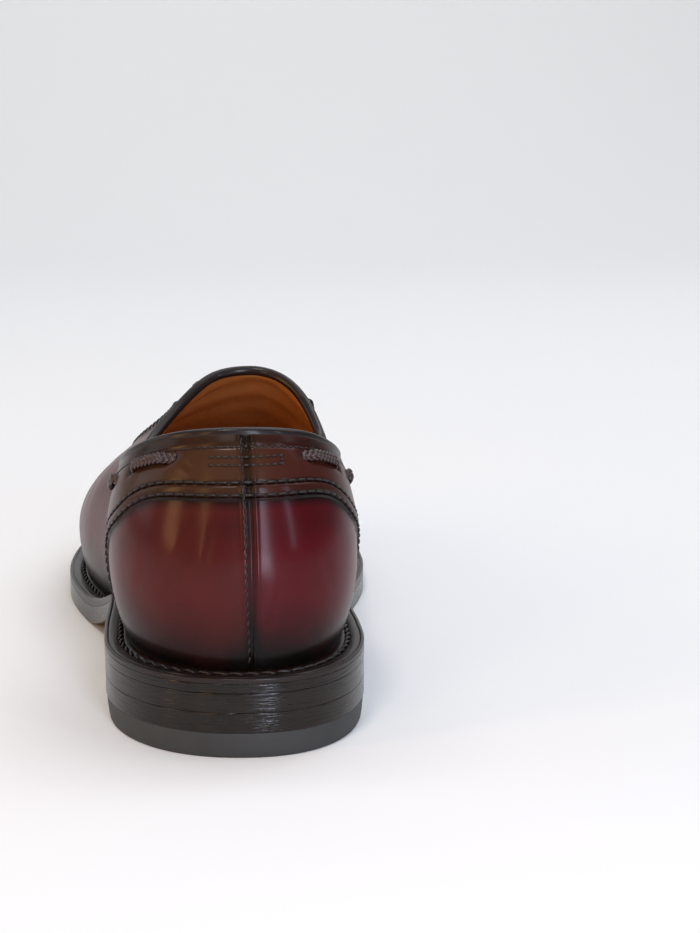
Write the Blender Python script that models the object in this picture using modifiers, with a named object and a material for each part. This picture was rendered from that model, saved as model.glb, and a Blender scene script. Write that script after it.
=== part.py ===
"""Left tassel loafer, men's size EU 43, empty and standing on its sole.

The frame has +Y to the toe, +Z up and +X to the inner side of the foot. Its origin lies on the
floor under the middle of the heel. Sizes are millimetres until a mesh is made from them.
"""

import math

import bmesh
import bpy
import numpy as np
from mathutils import Vector

# Driving sizes
MM = 0.001
GAP = 0.3  # between pieces that touch
WALL = 2.2  # calf upper and lining together
HEEL_HEIGHT = 18.8  # floor to the underside of the outsole
TOE_SPRING = 9.0  # rise of the outsole at its tip
LEDGE = 6.3  # welt that shows outside the upper
HEEL_CENTRE = 12.0  # where the heel's round outline starts
HEEL_REACH = 50.0  # from there back to the edge of the sole
TOE_CENTRE = 165.0  # the ball of the foot, where the toe's round outline starts
TOE_REACH = 100.5  # from there to the tip of the sole
UPPER_HEEL_REACH = 45.6
UPPER_TOE_REACH = 95.5
ROUNDNESS_HEEL = 2.2  # exponent of the plan's superellipse
ROUNDNESS_TOE = {-1: 2.0, 1: 2.35}  # outer and inner side
TOE_FALL = 0.36  # slope of the ridge line ahead of the ball, and how it eases off
TOE_EASE = 0.0019
TOE_LIFT = 3.5  # rise of the widest line round the toe
HEEL_LEAN = 0.0006  # swings the back of the heel to the inner side
HEEL_LEAN_START = 20.0
HEEL_BREAST = 47.0  # front edge of the heel block
HEEL_BREAST_HOLLOW = 5.0
SHANK_START, SHANK_END = 46.0, 118.0  # the outsole comes down from the heel between these
TREAD_END = 165.0  # and lies flat from there to here
THICKENING = (30.0, 110.0)  # the outsole and welt thicken between these
OUTSOLE_THICKNESS = (2.7, 6.0)  # at the heel and under the forefoot
WELT_THICKNESS = (1.3, 2.8)
WELT_WIDTH = 11.0
INSOLE_INSET = 9.4
INSOLE_THICKNESS = 3.0
COUNTER_DEPTH = 0.8  # the counter lies this far under the collar's leather
COUNTER_FRONT = 20.0
RIDGE_HEIGHT = 1.1  # raised seam round the apron
RIDGE_RISE = 12.0  # the seam reaches that height this far ahead of the throat's corner
BEAD = 2.7  # rolled binding of the opening
LACE = 2.8  # braided leather lace
LACE_DROP = 5.5  # below the edge of the wall
KNOT = (7.5, 5.5, 3.4)  # half sizes across, along and up
KNOT_Y = 118.0
KNOT_LIFT = 0.55  # gap under the knot
KNOT_PORTS = {"throat": (-42.0, -24.0), "end": (48.0, -24.0)}  # where the lace meets it, degrees
TASSEL_STRIPS = 9
TASSEL_END = (162.0, 66.0, 3.6)  # y, rib angle and height above the vamp
TASSEL_SPLAY = 6.0  # how much longer a strip is than the cut beside it, as a share of its depth
HEEL_STEPS, QUARTER_STEPS, VAMP_STEPS, TOE_STEPS = 8, 8, 8, 14
SOLE_STEPS = 16

# Half widths of the last on each side of x = 0, the ridge line that its ribs close on, and how
# much a rib falls in above its widest point, where 1 is an ellipse
LAST_COLUMNS = ("y", "outer", "inner", "ridge_x", "ridge_z", "widest_z", "outer_fall", "inner_fall")
LAST = (
    (0.0, 39.0, 35.4, 0.0, 114.0, 48.5, 1.45, 1.5),
    (25.0, 39.6, 35.2, 0.5, 111.0, 47.5, 1.5, 1.8),
    (60.0, 38.2, 35.4, 4.2, 102.0, 40.0, 1.5, 1.5),
    (95.0, 41.4, 37.2, 6.0, 91.7, 33.0, 1.75, 0.97),
    (130.0, 51.4, 41.4, 5.2, 74.5, 27.5, 1.2, 1.0),
    (165.0, 55.2, 45.4, 4.0, 60.0, 24.5, 1.0, 1.0),
    (200.0, 51.4, 41.4, 2.8, 49.0, 24.0, 1.0, 1.0),
)
SOLE_COLUMNS = ("y", "outer", "inner")
SOLE = (
    (0.0, 40.0, 36.3),
    (25.0, 40.9, 36.1),
    (60.0, 40.4, 33.8),
    (95.0, 45.6, 36.4),
    (130.0, 55.0, 45.0),
    (165.0, 59.2, 49.9),
    (200.0, 55.0, 45.0),
)
# Side view of the edge of the opening, without its bead
TOPLINE = ((-36.0, 90.6), (-20.0, 88.0), (0.0, 79.8), (25.0, 71.4), (50.0, 67.0), (70.0, 70.0))
THROAT_CORNER = 86.0  # where the opening's edge meets the apron seam
THROAT_ANGLE = 50.0  # of the rib there
APRON_TOE_TURN = 13.0  # degrees less round the toe, to keep the seam off its tip
THROAT_DEPTH = 12.0  # the throat's front edge bows this far to the toe
THROAT_BOW_END = 150.0  # the apron's rows have lost that bow here
WIDEST_SHARE = 0.25  # share of a rib's parameter that lies below its widest point
# Side view of the edge of the collar's leather, which lies over the counter
COUNTER_SEAM = (
    (-32.0, 71.5),
    (-22.0, 71.0),
    (-14.0, 67.6),
    (-6.0, 61.4),
    (2.0, 56.2),
    (9.0, 50.2),
    (14.0, 42.5),
    (17.5, 33.0),
    (19.5, 24.0),
    (20.8, 17.0),
)
# name, underside, top, inset of the lower edge, material
HEEL_LIFTS = (
    ("top_lift", 0.0, 7.3, 1.1, "rubber"),
    ("heel_lift_2", 7.6, 13.1, 0.3, "stacked_leather"),
    ("heel_lift_1", 13.4, HEEL_HEIGHT - GAP, 0.3, "stacked_leather"),
)
LACE_STRETCHES = (("rear", -17.0, -5.0), ("front", 8.0, 44.0))  # name, from y, to y
# Routes on the vamp: y, the rib's angle in degrees, where 90 is the ridge line, and the height
# of the lace's middle. It comes out of an eyelet in the apron, close to the throat.
FRONT_LACE = ((105.0, 67.0, 1.9), (107.5, 69.5, 2.0), (110.0, 71.5, 2.1))
LACE_END = ((126.0, 74.5, 2.6), (128.5, 73.5, 3.4), (131.0, 73.0, 4.2))
# A tassel's share of the length, half width, half depth, depth of the cuts between strips
TASSEL_SECTIONS = (
    (0.0, 2.4, 2.4, 0.0),
    (0.03, 3.4, 3.4, 0.0),
    (0.22, 3.6, 3.4, 0.0),
    (0.26, 3.0, 2.9, 0.04),
    (0.34, 4.4, 3.1, 0.1),
    (0.62, 7.0, 3.0, 0.14),
    (1.0, 9.2, 2.6, 0.16),
)
BURGUNDY, BLACK = "3a1218", "15100e"
# material: sRGB colour and roughness
COLOURS = {
    "calf": (BURGUNDY, 0.3),
    "edge_black": (BLACK, 0.45),
    "lining_tan": ("8a4b18", 0.6),
    "stacked_leather": ("2e2118", 0.3),
    "sole_leather": ("4a3524", 0.45),
    "rubber": ("383532", 0.6),
}


def spline(xs, ys, x):
    """Natural cubic spline through the points (xs, ys), read at x."""
    xs, ys, x = (np.asarray(v, float) for v in (xs, ys, x))
    n = len(xs)
    step = np.diff(xs)
    slope = np.diff(ys) / step
    system = np.eye(n)
    right = np.zeros(n)
    for i in range(1, n - 1):
        system[i, i - 1 : i + 2] = step[i - 1], 2 * (step[i - 1] + step[i]), step[i]
        right[i] = 6 * (slope[i] - slope[i - 1])
    bend = np.linalg.solve(system, right)
    i = np.clip(np.searchsorted(xs, x) - 1, 0, n - 2)
    a, b, h = xs[i + 1] - x, x - xs[i], step[i]
    return (
        (bend[i] * a**3 + bend[i + 1] * b**3) / (6 * h)
        + (ys[i] / h - bend[i] * h / 6) * a
        + (ys[i + 1] / h - bend[i + 1] * h / 6) * b
    )


def read(table, columns, name, y):
    rows = np.array(table)
    return spline(rows[:, 0], rows[:, columns.index(name)], y)


def ease(value, start, end):
    """0 before start, 1 after end, with a smooth S between them."""
    t = np.clip((np.asarray(value, float) - start) / (end - start), 0, 1)
    return t * t * (3 - 2 * t)


def thickness(ends, y):
    return ends[0] + (ends[1] - ends[0]) * ease(y, *THICKENING)


def outsole_bottom(y):
    spring = np.clip(y - TREAD_END, 0, None) / (TOE_CENTRE + TOE_REACH - TREAD_END)
    return HEEL_HEIGHT * (1 - ease(y, SHANK_START, SHANK_END)) + TOE_SPRING * spring**2


def outsole_top(y):
    return outsole_bottom(y) + thickness(OUTSOLE_THICKNESS, y)


def welt_bottom(y):
    return outsole_top(y) + GAP


def welt_top(y):
    return welt_bottom(y) + thickness(WELT_THICKNESS, y)


def lean(y):
    return HEEL_LEAN * np.clip(HEEL_LEAN_START - y, 0, None) ** 2


def station(u):
    """Centre and plan direction at u: 0 to 1 round the heel, 1 to 2 along, 2 to 3 round the toe."""
    u = np.asarray(u, float)
    y = HEEL_CENTRE + (TOE_CENTRE - HEEL_CENTRE) * np.clip(u - 1, 0, 1)
    turn = (np.clip(u, 0, 1) - 1 + np.clip(u - 2, 0, 1)) * math.pi / 2
    return y, np.cos(turn), np.sin(turn)


def u_of(y):
    return 1 + (np.asarray(y, float) - HEEL_CENTRE) / (TOE_CENTRE - HEEL_CENTRE)


def reach(side, u, table, columns, heel, toe, inset=0.0):
    """Distance from the ridge line to a plan outline, along the station's direction."""
    y, across, along = station(u)
    half = read(table, columns, "outer" if side < 0 else "inner", y) - inset
    half = half - side * read(LAST, LAST_COLUMNS, "ridge_x", y)
    power = np.where(along < 0, ROUNDNESS_HEEL, ROUNDNESS_TOE[side])
    end = np.where(along < 0, heel, toe) - inset
    return ((across / half) ** power + (np.abs(along) / end) ** power) ** (-1 / power)


def placed(side, u, radius, height):
    y, across, along = station(u)
    x = read(LAST, LAST_COLUMNS, "ridge_x", y) + side * across * radius
    y = y + along * radius
    return np.stack(np.broadcast_arrays(x + lean(y), y, height), -1)


def sole_edge(side, u, inset, height):
    """Point on the sole's outline, moved in by inset, at height(y)."""
    radius = reach(side, u, SOLE, SOLE_COLUMNS, HEEL_REACH, TOE_REACH, inset)
    flat = placed(side, u, radius, 0.0)
    flat[..., 2] = height(flat[..., 1])
    return flat


def last(side, u, t):
    """Point of the last: t from 0 at the welt, past its widest point, to 1 on the ridge line."""
    u, t = np.broadcast_arrays(np.asarray(u, float), np.asarray(t, float))
    y, across, along = station(u)
    wide = reach(side, u, LAST, LAST_COLUMNS, UPPER_HEEL_REACH, UPPER_TOE_REACH)
    foot = reach(side, u, SOLE, SOLE_COLUMNS, HEEL_REACH, TOE_REACH, LEDGE)
    foot_z = welt_top(y + along * foot) + GAP
    ahead = np.clip(along, 0, 1)
    wide_z = read(LAST, LAST_COLUMNS, "widest_z", y) + TOE_LIFT * ahead**2
    ridge_z = read(LAST, LAST_COLUMNS, "ridge_z", y)
    below = np.clip(1 - t / WIDEST_SHARE, 0, 1)
    angle = np.clip((t - WIDEST_SHARE) / (1 - WIDEST_SHARE), 0, 1) * math.pi / 2
    falls = [read(LAST, LAST_COLUMNS, name, y) for name in ("outer_fall", "inner_fall")]
    own = falls[0] if side < 0 else falls[1]
    fall_in = own * across + (falls[0] + falls[1]) / 2 * (1 - across)
    fall_in = 1 + (fall_in - 1) * (1 - np.sin(angle) ** 4)
    above = wide * np.clip(np.cos(angle), 0, 1) ** fall_in
    radius = np.where(t < WIDEST_SHARE, wide - (wide - foot) * below**2, above)
    fall = -ahead * (TOE_FALL * radius - TOE_EASE * radius**2)
    height = np.where(
        t < WIDEST_SHARE,
        wide_z - (wide_z - foot_z) * below,
        wide_z + (ridge_z + fall - wide_z) * np.sin(angle),
    )
    return placed(side, u, radius, height)


def outside(side, u, t, out=0.0):
    """Point of the last moved out along its normal."""
    point = last(side, u, t)
    if np.all(np.asarray(out) == 0):
        return point
    du, dt = 1e-3, 1e-3
    low, high = np.clip(t, dt, 1 - 2 * dt), np.clip(t, dt, 1 - 2 * dt) + dt
    along = last(side, np.asarray(u) + du, low) - last(side, np.asarray(u) - du, low)
    up = last(side, u, high) - last(side, u, low)
    normal = side * np.cross(along, up)
    normal /= np.linalg.norm(normal, axis=-1, keepdims=True)
    return point + normal * np.asarray(out)[..., None]


def rib_angle(degrees):
    return WIDEST_SHARE + (1 - WIDEST_SHARE) * degrees / 90


def t_at_height(side, u, height):
    """Rib parameter where the last reaches a height given as a function of y."""
    low, high = np.zeros_like(u), np.full_like(u, 0.97)
    for _ in range(40):
        middle = (low + high) / 2
        point = last(side, u, middle)
        under = point[..., 2] < height(point[..., 1])
        low, high = np.where(under, middle, low), np.where(under, high, middle)
    return low


def topline(side, y):
    corner = last(side, u_of(THROAT_CORNER), rib_angle(THROAT_ANGLE))
    rows = TOPLINE + ((THROAT_CORNER, corner[2]),)
    return spline(*np.array(rows).T, np.clip(y, TOPLINE[0][0], THROAT_CORNER))


def apron_t(u):
    """Rib parameter of the raised apron seam."""
    along = station(u)[2]
    degrees = THROAT_ANGLE - APRON_TOE_TURN * np.clip(along, 0, 1) ** 2
    return rib_angle(degrees)


def clear_scene():
    for obj in list(bpy.data.objects):
        bpy.data.objects.remove(obj, do_unlink=True)


def collection(name, hidden=False):
    made = bpy.data.collections.new(name)
    made.hide_render = hidden
    bpy.context.scene.collection.children.link(made)
    return made


def material(name):
    found = bpy.data.materials.get(name)
    if found:
        return found
    code, roughness = COLOURS[name]
    made = bpy.data.materials.new(name)
    made.use_nodes = True
    shader = made.node_tree.nodes["Principled BSDF"]
    srgb = np.array([int(code[i : i + 2], 16) for i in (0, 2, 4)]) / 255
    linear = np.where(srgb > 0.04045, ((srgb + 0.055) / 1.055) ** 2.4, srgb / 12.92)
    shader.inputs["Base Color"].default_value = (*linear, 1.0)
    shader.inputs["Roughness"].default_value = roughness
    return made


def add_object(name, data, stuff, into):
    obj = bpy.data.objects.new(name, data)
    into.objects.link(obj)
    data.materials.append(material(stuff))
    return obj


def finish_mesh(name, build, merge=0.02):
    """Mesh from a bmesh in millimetres, with points closer than merge made one."""
    bmesh.ops.remove_doubles(build, verts=build.verts, dist=merge)
    bmesh.ops.dissolve_degenerate(build, edges=build.edges, dist=1e-4)
    bmesh.ops.recalc_face_normals(build, faces=build.faces)
    bmesh.ops.scale(build, vec=Vector((MM, MM, MM)), verts=build.verts)
    mesh = bpy.data.meshes.new(name)
    build.to_mesh(mesh)
    build.free()
    mesh.shade_smooth()
    mesh.set_sharp_from_angle(angle=math.radians(35))
    return mesh


def add_grid(build, points, close=False):
    """Quads over a grid of points, rows by columns; close joins the last column to the first."""
    verts = [[build.verts.new(p) for p in row] for row in points]
    columns = len(verts[0])
    for low, high in zip(verts, verts[1:]):
        for j in range(columns if close else columns - 1):
            k = (j + 1) % columns
            build.faces.new((low[j], low[k], high[k], high[j]))
    return verts


def add_strips(build, ring):
    """Closes a ring with strips from its outer side to its inner side."""
    n = len(ring)
    for i in range(n // 2):
        corners = [ring[i], ring[i + 1], ring[(n - i - 1) % n], ring[(n - i) % n]]
        build.faces.new(list(dict.fromkeys(corners)))


def ring_columns():
    """Stations of one side of the sole, from the back of the heel to the tip."""
    heel = np.linspace(0, 1, HEEL_STEPS + 1)
    along = np.linspace(1, 2, SOLE_STEPS + 1)
    toe = np.linspace(2, 3, TOE_STEPS + 1)
    return np.concatenate([heel, along[1:], toe[1:]])


def sole_ring(inset, height):
    """Closed plan ring, from the heel's back up the outer side and down the inner side."""
    u = ring_columns()
    outer = sole_edge(-1, u, inset, height)
    inner = sole_edge(1, u, inset, height)
    return np.concatenate([outer, inner[-2:0:-1]])


def stack(name, rings, stuff, into):
    """Solid between its first and last ring, through the rings between them."""
    build = bmesh.new()
    verts = add_grid(build, rings, close=True)
    add_strips(build, verts[0])
    add_strips(build, verts[-1])
    return add_object(name, finish_mesh(name, build), stuff, into)


def make_outsole(into):
    edge = (
        (1.2, lambda y: outsole_bottom(y)),
        (0.3, lambda y: outsole_bottom(y) + 0.7),
        (0.0, lambda y: (outsole_bottom(y) + outsole_top(y)) / 2),
        (0.2, lambda y: outsole_top(y)),
    )
    stack("outsole", [sole_ring(inset, z) for inset, z in edge], "sole_leather", into)


def make_welt(into):
    build = bmesh.new()
    loop = (
        (0.3, welt_bottom),
        (0.0, lambda y: (welt_bottom(y) + welt_top(y)) / 2),
        (0.5, welt_top),
        (WELT_WIDTH, welt_top),
        (WELT_WIDTH, welt_bottom),
        (0.3, welt_bottom),
    )
    add_grid(build, [sole_ring(inset, z) for inset, z in loop], close=True)
    add_object("welt", finish_mesh("welt", build), "edge_black", into)


def make_insole(into):
    """Foot bed on the welt, with the filler below it that reaches down to the outsole."""
    levels = (
        (WELT_WIDTH + GAP, lambda y: outsole_top(y) + GAP),
        (WELT_WIDTH + GAP, lambda y: welt_top(y) + GAP),
        (INSOLE_INSET, lambda y: welt_top(y) + GAP),
        (INSOLE_INSET, lambda y: welt_top(y) + GAP + INSOLE_THICKNESS),
    )
    stack("insole", [sole_ring(inset, z) for inset, z in levels], "lining_tan", into)


def heel_ring(inset, z):
    """Plan of the heel block at height z, with its hollow front edge."""
    sides = np.concatenate([np.linspace(0, 1, HEEL_STEPS + 1), u_of([25.0, 37.0, HEEL_BREAST])])
    outer = sole_edge(-1, sides, inset, lambda y: 0 * y + z)
    inner = sole_edge(1, sides, inset, lambda y: 0 * y + z)
    across = np.linspace(0, 1, 7)[1:-1, None]
    front = outer[-1] * (1 - across) + inner[-1] * across
    front[:, 1] -= HEEL_BREAST_HOLLOW * 4 * across[:, 0] * (1 - across[:, 0])
    return np.concatenate([outer, front, inner[:0:-1]])


def make_heel(into):
    """Rubber top lift and two leather lifts, flat faces on each other."""
    for name, low, high, foot_inset, stuff in HEEL_LIFTS:
        build = bmesh.new()
        levels = ((foot_inset, low), (0.3, low + 0.8), (0.3, high))
        rings = add_grid(build, [heel_ring(inset, z) for inset, z in levels], close=True)
        build.faces.new(rings[0])
        build.faces.new(rings[-1])
        add_object(name, finish_mesh(name, build), stuff, into)


def edge_t(side, u):
    """Rib parameter of the upper's edge: the opening behind the corner, the apron seam ahead."""
    opening = t_at_height(side, u, lambda y: topline(side, y))
    return np.where(u < u_of(THROAT_CORNER) - 1e-6, opening, apron_t(u))


def upper_columns():
    heel = np.linspace(0, 1, HEEL_STEPS + 1)
    quarter = u_of(np.linspace(HEEL_CENTRE, THROAT_CORNER, QUARTER_STEPS + 1))
    vamp = u_of(np.linspace(THROAT_CORNER, TOE_CENTRE, VAMP_STEPS + 1))
    toe = np.linspace(2, 3, TOE_STEPS + 1)
    return np.concatenate([heel, quarter[1:], vamp[1:], toe[1:]])


def bowed(u, share):
    """Station of an apron point: the throat's edge bows to the toe, and so does what follows."""
    y = station(u)[0]
    fade = 1 - ease(y, THROAT_CORNER, THROAT_BOW_END)
    bow = THROAT_DEPTH * np.sin(share * math.pi / 2) * fade
    return np.where(u > 2, u, u_of(y + bow))


def upper_outer(side):
    """Outer face of the upper: a band round the foot up to its edge, and half of the apron."""
    u = upper_columns()[None, :]
    rim = edge_t(side, u[0])[None, :]
    low = WIDEST_SHARE * np.array([0, 0.25, 0.5, 0.75, 1.0])[:, None]
    share = np.array([0.16, 0.32, 0.48, 0.64, 0.8, 0.95, 1.0])[:, None]
    t = np.concatenate([low + 0 * rim, WIDEST_SHARE + (rim - WIDEST_SHARE) * share])
    raised = np.zeros_like(t)
    y = station(u[0])[0]
    raised[-1] = RIDGE_HEIGHT * ease(y, THROAT_CORNER, THROAT_CORNER + RIDGE_RISE)
    band = outside(side, u + 0 * t, t, raised)
    ahead = u[0] > u_of(THROAT_CORNER) - 1e-6
    share = np.array([0, 0.06, 0.24, 0.44, 0.64, 0.82, 1.0])[:, None]
    u, rim = u[:, ahead], rim[:, ahead]
    t = rim + (1 - rim) * share
    apron = last(side, bowed(u + 0 * t, share), t)
    apron[0] = band[-1][ahead]
    return band, apron


def counter_cutter(into):
    """What the counter lies under: a shell just outside the upper, below the counter's seam."""
    build = bmesh.new()
    seam = np.array(COUNTER_SEAM)
    quarter = u_of(np.linspace(HEEL_CENTRE, COUNTER_FRONT, 7))
    u = np.concatenate([np.linspace(0, 1, HEEL_STEPS + 1), quarter[1:]])
    for side in (-1, 1):
        top = t_at_height(side, u, lambda y: spline(*seam.T, y))
        t = -0.11 + (top[None, :] + 0.11) * np.linspace(0, 1, 8)[:, None]
        add_grid(build, outside(side, u + 0 * t, t, -COUNTER_DEPTH + 0 * t))
    cutter = add_object("counter_cutter", finish_mesh("counter_cutter", build), "calf", into)
    thicken(cutter, COUNTER_DEPTH + 3, 1)
    cutter.display_type = "WIRE"
    return cutter


def thicken(obj, thickness, offset):
    shell = obj.modifiers.new("Wall", "SOLIDIFY")
    shell.thickness = thickness * MM
    shell.offset = offset
    shell.use_even_offset = True
    shell.use_quality_normals = True


def make_upper(into, cutter):
    build = bmesh.new()
    for side in (-1, 1):
        for grid in upper_outer(side):
            add_grid(build, grid)
    obj = add_object("upper", finish_mesh("upper", build), "calf", into)
    thicken(obj, WALL, -1)
    cut = obj.modifiers.new("Counter", "BOOLEAN")
    cut.object = cutter
    cut.operation = "DIFFERENCE"
    cut.solver = "EXACT"


def opening_edge():
    """Outer points of the opening's edge and their outward normals, as a closed loop."""
    points, lifted = [], []
    for side in (-1, 1):
        u = upper_columns()
        u = u[u < u_of(THROAT_CORNER) + 1e-6]
        t = edge_t(side, u)
        share = np.array([0.15, 0.3, 0.45, 0.6, 0.75, 0.9, 1.0])
        corner = rib_angle(THROAT_ANGLE)
        u = np.concatenate([u, bowed(u_of(THROAT_CORNER) + 0 * share, share)])
        t = np.concatenate([t, corner + (1 - corner) * share])
        row = slice(None) if side < 0 else slice(-2, 0, -1)
        points.append(last(side, u, t)[row])
        lifted.append(outside(side, u, t, 1 + 0 * t)[row])
    points, lifted = np.concatenate(points), np.concatenate(lifted)
    return points, lifted - points


def tube(name, points, diameter, stuff, into, closed=False):
    curve = bpy.data.curves.new(name, "CURVE")
    curve.dimensions = "3D"
    curve.bevel_depth = diameter / 2 * MM
    curve.bevel_resolution = 2
    curve.use_fill_caps = True
    path = curve.splines.new("POLY")
    path.points.add(len(points) - 1)
    for point, place in zip(path.points, points):
        point.co = (*(np.asarray(place) * MM), 1.0)
    path.use_cyclic_u = closed
    return add_object(name, curve, stuff, into)


def make_binding(into):
    points, normals = opening_edge()
    along = np.roll(points, -1, axis=0) - np.roll(points, 1, axis=0)
    out = np.cross(along, normals)
    out /= np.linalg.norm(out, axis=1, keepdims=True)
    out *= np.sign(out[0, 2])
    centre = points - normals * WALL / 2 + out * (BEAD / 2 + GAP)
    tube("topline_binding", centre, BEAD, "edge_black", into, closed=True)


def make_lace_bars(into):
    """Stretches of the braided lace that show below the opening's edge."""
    for side, side_name in ((-1, "outer"), (1, "inner")):
        for name, start, end in LACE_STRETCHES:
            u = np.linspace(start, end, 8)
            u = np.where(u < HEEL_CENTRE, lace_station(side, u), u_of(u))
            t = t_at_height(side, u, lambda y: topline(side, y) - LACE_DROP)
            path = outside(side, u, t, LACE / 2 + GAP + 0 * t)
            tube(f"lace_{name}_{side_name}", path, LACE, "calf", into)


def lace_station(side, y):
    """Station behind the heel's centre whose lace lies at y."""
    u = np.linspace(0, 1, 41)
    t = t_at_height(side, u, lambda y: topline(side, y) - LACE_DROP)
    return np.interp(y, last(side, u, t)[:, 1], u)


def on_vamp(side, y, degrees, out):
    return outside(side, u_of(np.asarray(y, float)), rib_angle(np.asarray(degrees, float)), out)


def knot_place():
    """The knot's centre over the ridge line, and the matrix that lays it along the vamp's slope."""
    centre = on_vamp(1, KNOT_Y, 89.5, KNOT[2] + KNOT_LIFT)
    step = np.diff(last(1, u_of([KNOT_Y - 2, KNOT_Y + 2]), 0.99), axis=0)[0]
    slope = math.atan2(step[2], step[1])
    cos, sin = math.cos(slope), math.sin(slope)
    return centre, np.array([[1, 0, 0], [0, cos, -sin], [0, sin, cos]])


def knot_port(side, stretch):
    """Where a stretch of lace meets the knot's surface, less a gap."""
    centre, turn = knot_place()
    plan, lift = (math.radians(angle) for angle in KNOT_PORTS[stretch])
    level = math.cos(lift)
    ray = np.array([side * math.cos(plan) * level, math.sin(plan) * level, math.sin(lift)])
    normal = ray / KNOT
    normal /= np.linalg.norm(normal)
    return centre + turn @ (ray * KNOT + normal * 2 * GAP)


def make_front_lace(into):
    """The lace's two ends from their eyelets to the knot, and on to the tassels."""
    for side, name in ((-1, "outer"), (1, "inner")):
        throat = on_vamp(side, *np.array(FRONT_LACE).T)
        end = on_vamp(side, *np.array(LACE_END).T)
        throat = np.vstack([throat, knot_port(side, "throat")])
        end = np.vstack([knot_port(side, "end"), end])
        tube(f"lace_throat_{name}", throat, LACE, "calf", into)
        tube(f"lace_end_{name}", end, LACE, "calf", into)


def make_knot(into):
    centre, turn = knot_place()
    build = bmesh.new()
    bmesh.ops.create_uvsphere(build, u_segments=12, v_segments=8, radius=1.0)
    for vert in build.verts:
        vert.co = Vector(turn @ (np.array(vert.co) * KNOT) + centre)
    add_object("lace_knot", finish_mesh("lace_knot", build), "calf", into)


def make_tassels(into):
    """Wrapped cap and a fringe of strips cut from one piece, lying on the apron."""
    for side, name in ((-1, "outer"), (1, "inner")):
        lace_tip = on_vamp(side, *LACE_END[-1])
        end = on_vamp(side, *TASSEL_END)
        surface = on_vamp(side, TASSEL_END[0], TASSEL_END[1], 0.0)
        axis = (end - lace_tip) / np.linalg.norm(end - lace_tip)
        start = lace_tip + axis * (GAP + 0.2)
        normal = end - surface
        normal -= axis * normal.dot(axis)
        normal /= np.linalg.norm(normal)
        wide = np.cross(axis, normal)
        turn = np.linspace(0, 2 * math.pi, TASSEL_STRIPS * 4, endpoint=False)
        groove = np.clip(np.cos(TASSEL_STRIPS * turn) * 1.6, -1, 1)
        build = bmesh.new()
        rings = []
        long = np.linalg.norm(end - start)
        for along, width, depth, cut in TASSEL_SECTIONS:
            lobe = 1 + cut * groove
            tip = TASSEL_SPLAY * cut * groove if along == 1.0 else 0.0
            ring = start + np.outer(along * long + tip + 0 * turn, axis)
            ring = ring + np.outer(np.cos(turn) * lobe * width, wide)
            rings.append(ring + np.outer(np.sin(turn) * lobe * depth, normal))
        verts = add_grid(build, rings, close=True)
        build.faces.new(verts[0])
        build.faces.new(verts[-1])
        add_object(f"tassel_{name}", finish_mesh(f"tassel_{name}", build), "calf", into)


def main():
    clear_scene()
    shoe = collection("tassel_loafer")
    cutters = collection("cutters", hidden=True)
    make_outsole(shoe)
    make_heel(shoe)
    make_welt(shoe)
    make_insole(shoe)
    make_upper(shoe, counter_cutter(cutters))
    make_binding(shoe)
    make_lace_bars(shoe)
    make_front_lace(shoe)
    make_knot(shoe)
    make_tassels(shoe)


main()
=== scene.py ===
import math

import bmesh
import bpy
import numpy as np
from mathutils import Matrix


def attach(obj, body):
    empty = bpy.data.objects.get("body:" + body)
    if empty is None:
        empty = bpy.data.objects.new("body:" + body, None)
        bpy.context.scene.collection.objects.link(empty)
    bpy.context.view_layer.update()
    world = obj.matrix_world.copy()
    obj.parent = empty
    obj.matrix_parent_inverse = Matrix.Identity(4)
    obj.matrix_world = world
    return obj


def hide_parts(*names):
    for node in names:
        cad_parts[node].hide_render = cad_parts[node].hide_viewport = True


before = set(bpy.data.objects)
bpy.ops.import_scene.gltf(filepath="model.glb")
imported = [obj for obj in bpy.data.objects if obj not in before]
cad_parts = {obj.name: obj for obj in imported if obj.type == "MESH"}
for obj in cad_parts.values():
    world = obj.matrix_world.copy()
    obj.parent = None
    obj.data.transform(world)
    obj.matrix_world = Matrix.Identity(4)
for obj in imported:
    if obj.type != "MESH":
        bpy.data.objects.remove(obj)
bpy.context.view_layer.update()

# The camera stands behind the shoe and a little above it, as in the photograph. Its place and
# angles were solved from the outlines of heel, welt, collar and forefoot.
EYE = (-0.0145, -0.5624, 0.1804)
YAW, PITCH, ROLL = math.radians(-4.72), math.radians(10.61), math.radians(-0.25)
lens = bpy.data.cameras.new("behind_the_heel")
lens.lens = 76.5
lens.sensor_width = 36.0
lens.clip_start = 0.01
camera = bpy.data.objects.new("behind_the_heel", lens)
turned = Matrix.Rotation(YAW, 4, "Z") @ Matrix.Rotation(math.pi / 2 - PITCH, 4, "X")
camera.matrix_world = Matrix.Translation(EYE) @ turned @ Matrix.Rotation(ROLL, 4, "Z")
bpy.context.scene.collection.objects.link(camera)
bpy.context.scene.camera = camera
bpy.context.scene.view_settings.view_transform = "Standard"


# The lace's two ends: a plait of three calf strands that comes out of an eyelet in the apron, runs
# through the knot and ends in a tassel. It lies on the vamp, so the form of the last, which all
# the pieces share, is worked out here first. Sizes are millimetres, with +Y to the toe.
SIDES = ((-1, "outer"), (1, "inner"))
GAP = 0.3
WALL = 2.2
HEEL_HEIGHT, TOE_SPRING, LEDGE = 18.8, 9.0, 6.3
HEEL_CENTRE, HEEL_REACH, TOE_CENTRE, TOE_REACH = 12.0, 50.0, 165.0, 100.5
UPPER_HEEL_REACH, UPPER_TOE_REACH = 45.6, 95.5
HEEL_ROUNDNESS = 2.2
TOE_ROUNDNESS = {-1: 2.0, 1: 2.35}
TOE_FALL, TOE_EASE, TOE_LIFT = 0.36, 0.0019, 3.5
HEEL_LEAN, HEEL_LEAN_START = 0.0006, 20.0
SHANK_START, SHANK_END, TREAD_END = 46.0, 118.0, 165.0
THICKENING, OUTSOLE_THICKNESS, WELT_THICKNESS = (30.0, 110.0), (2.7, 6.0), (1.3, 2.8)
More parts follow.
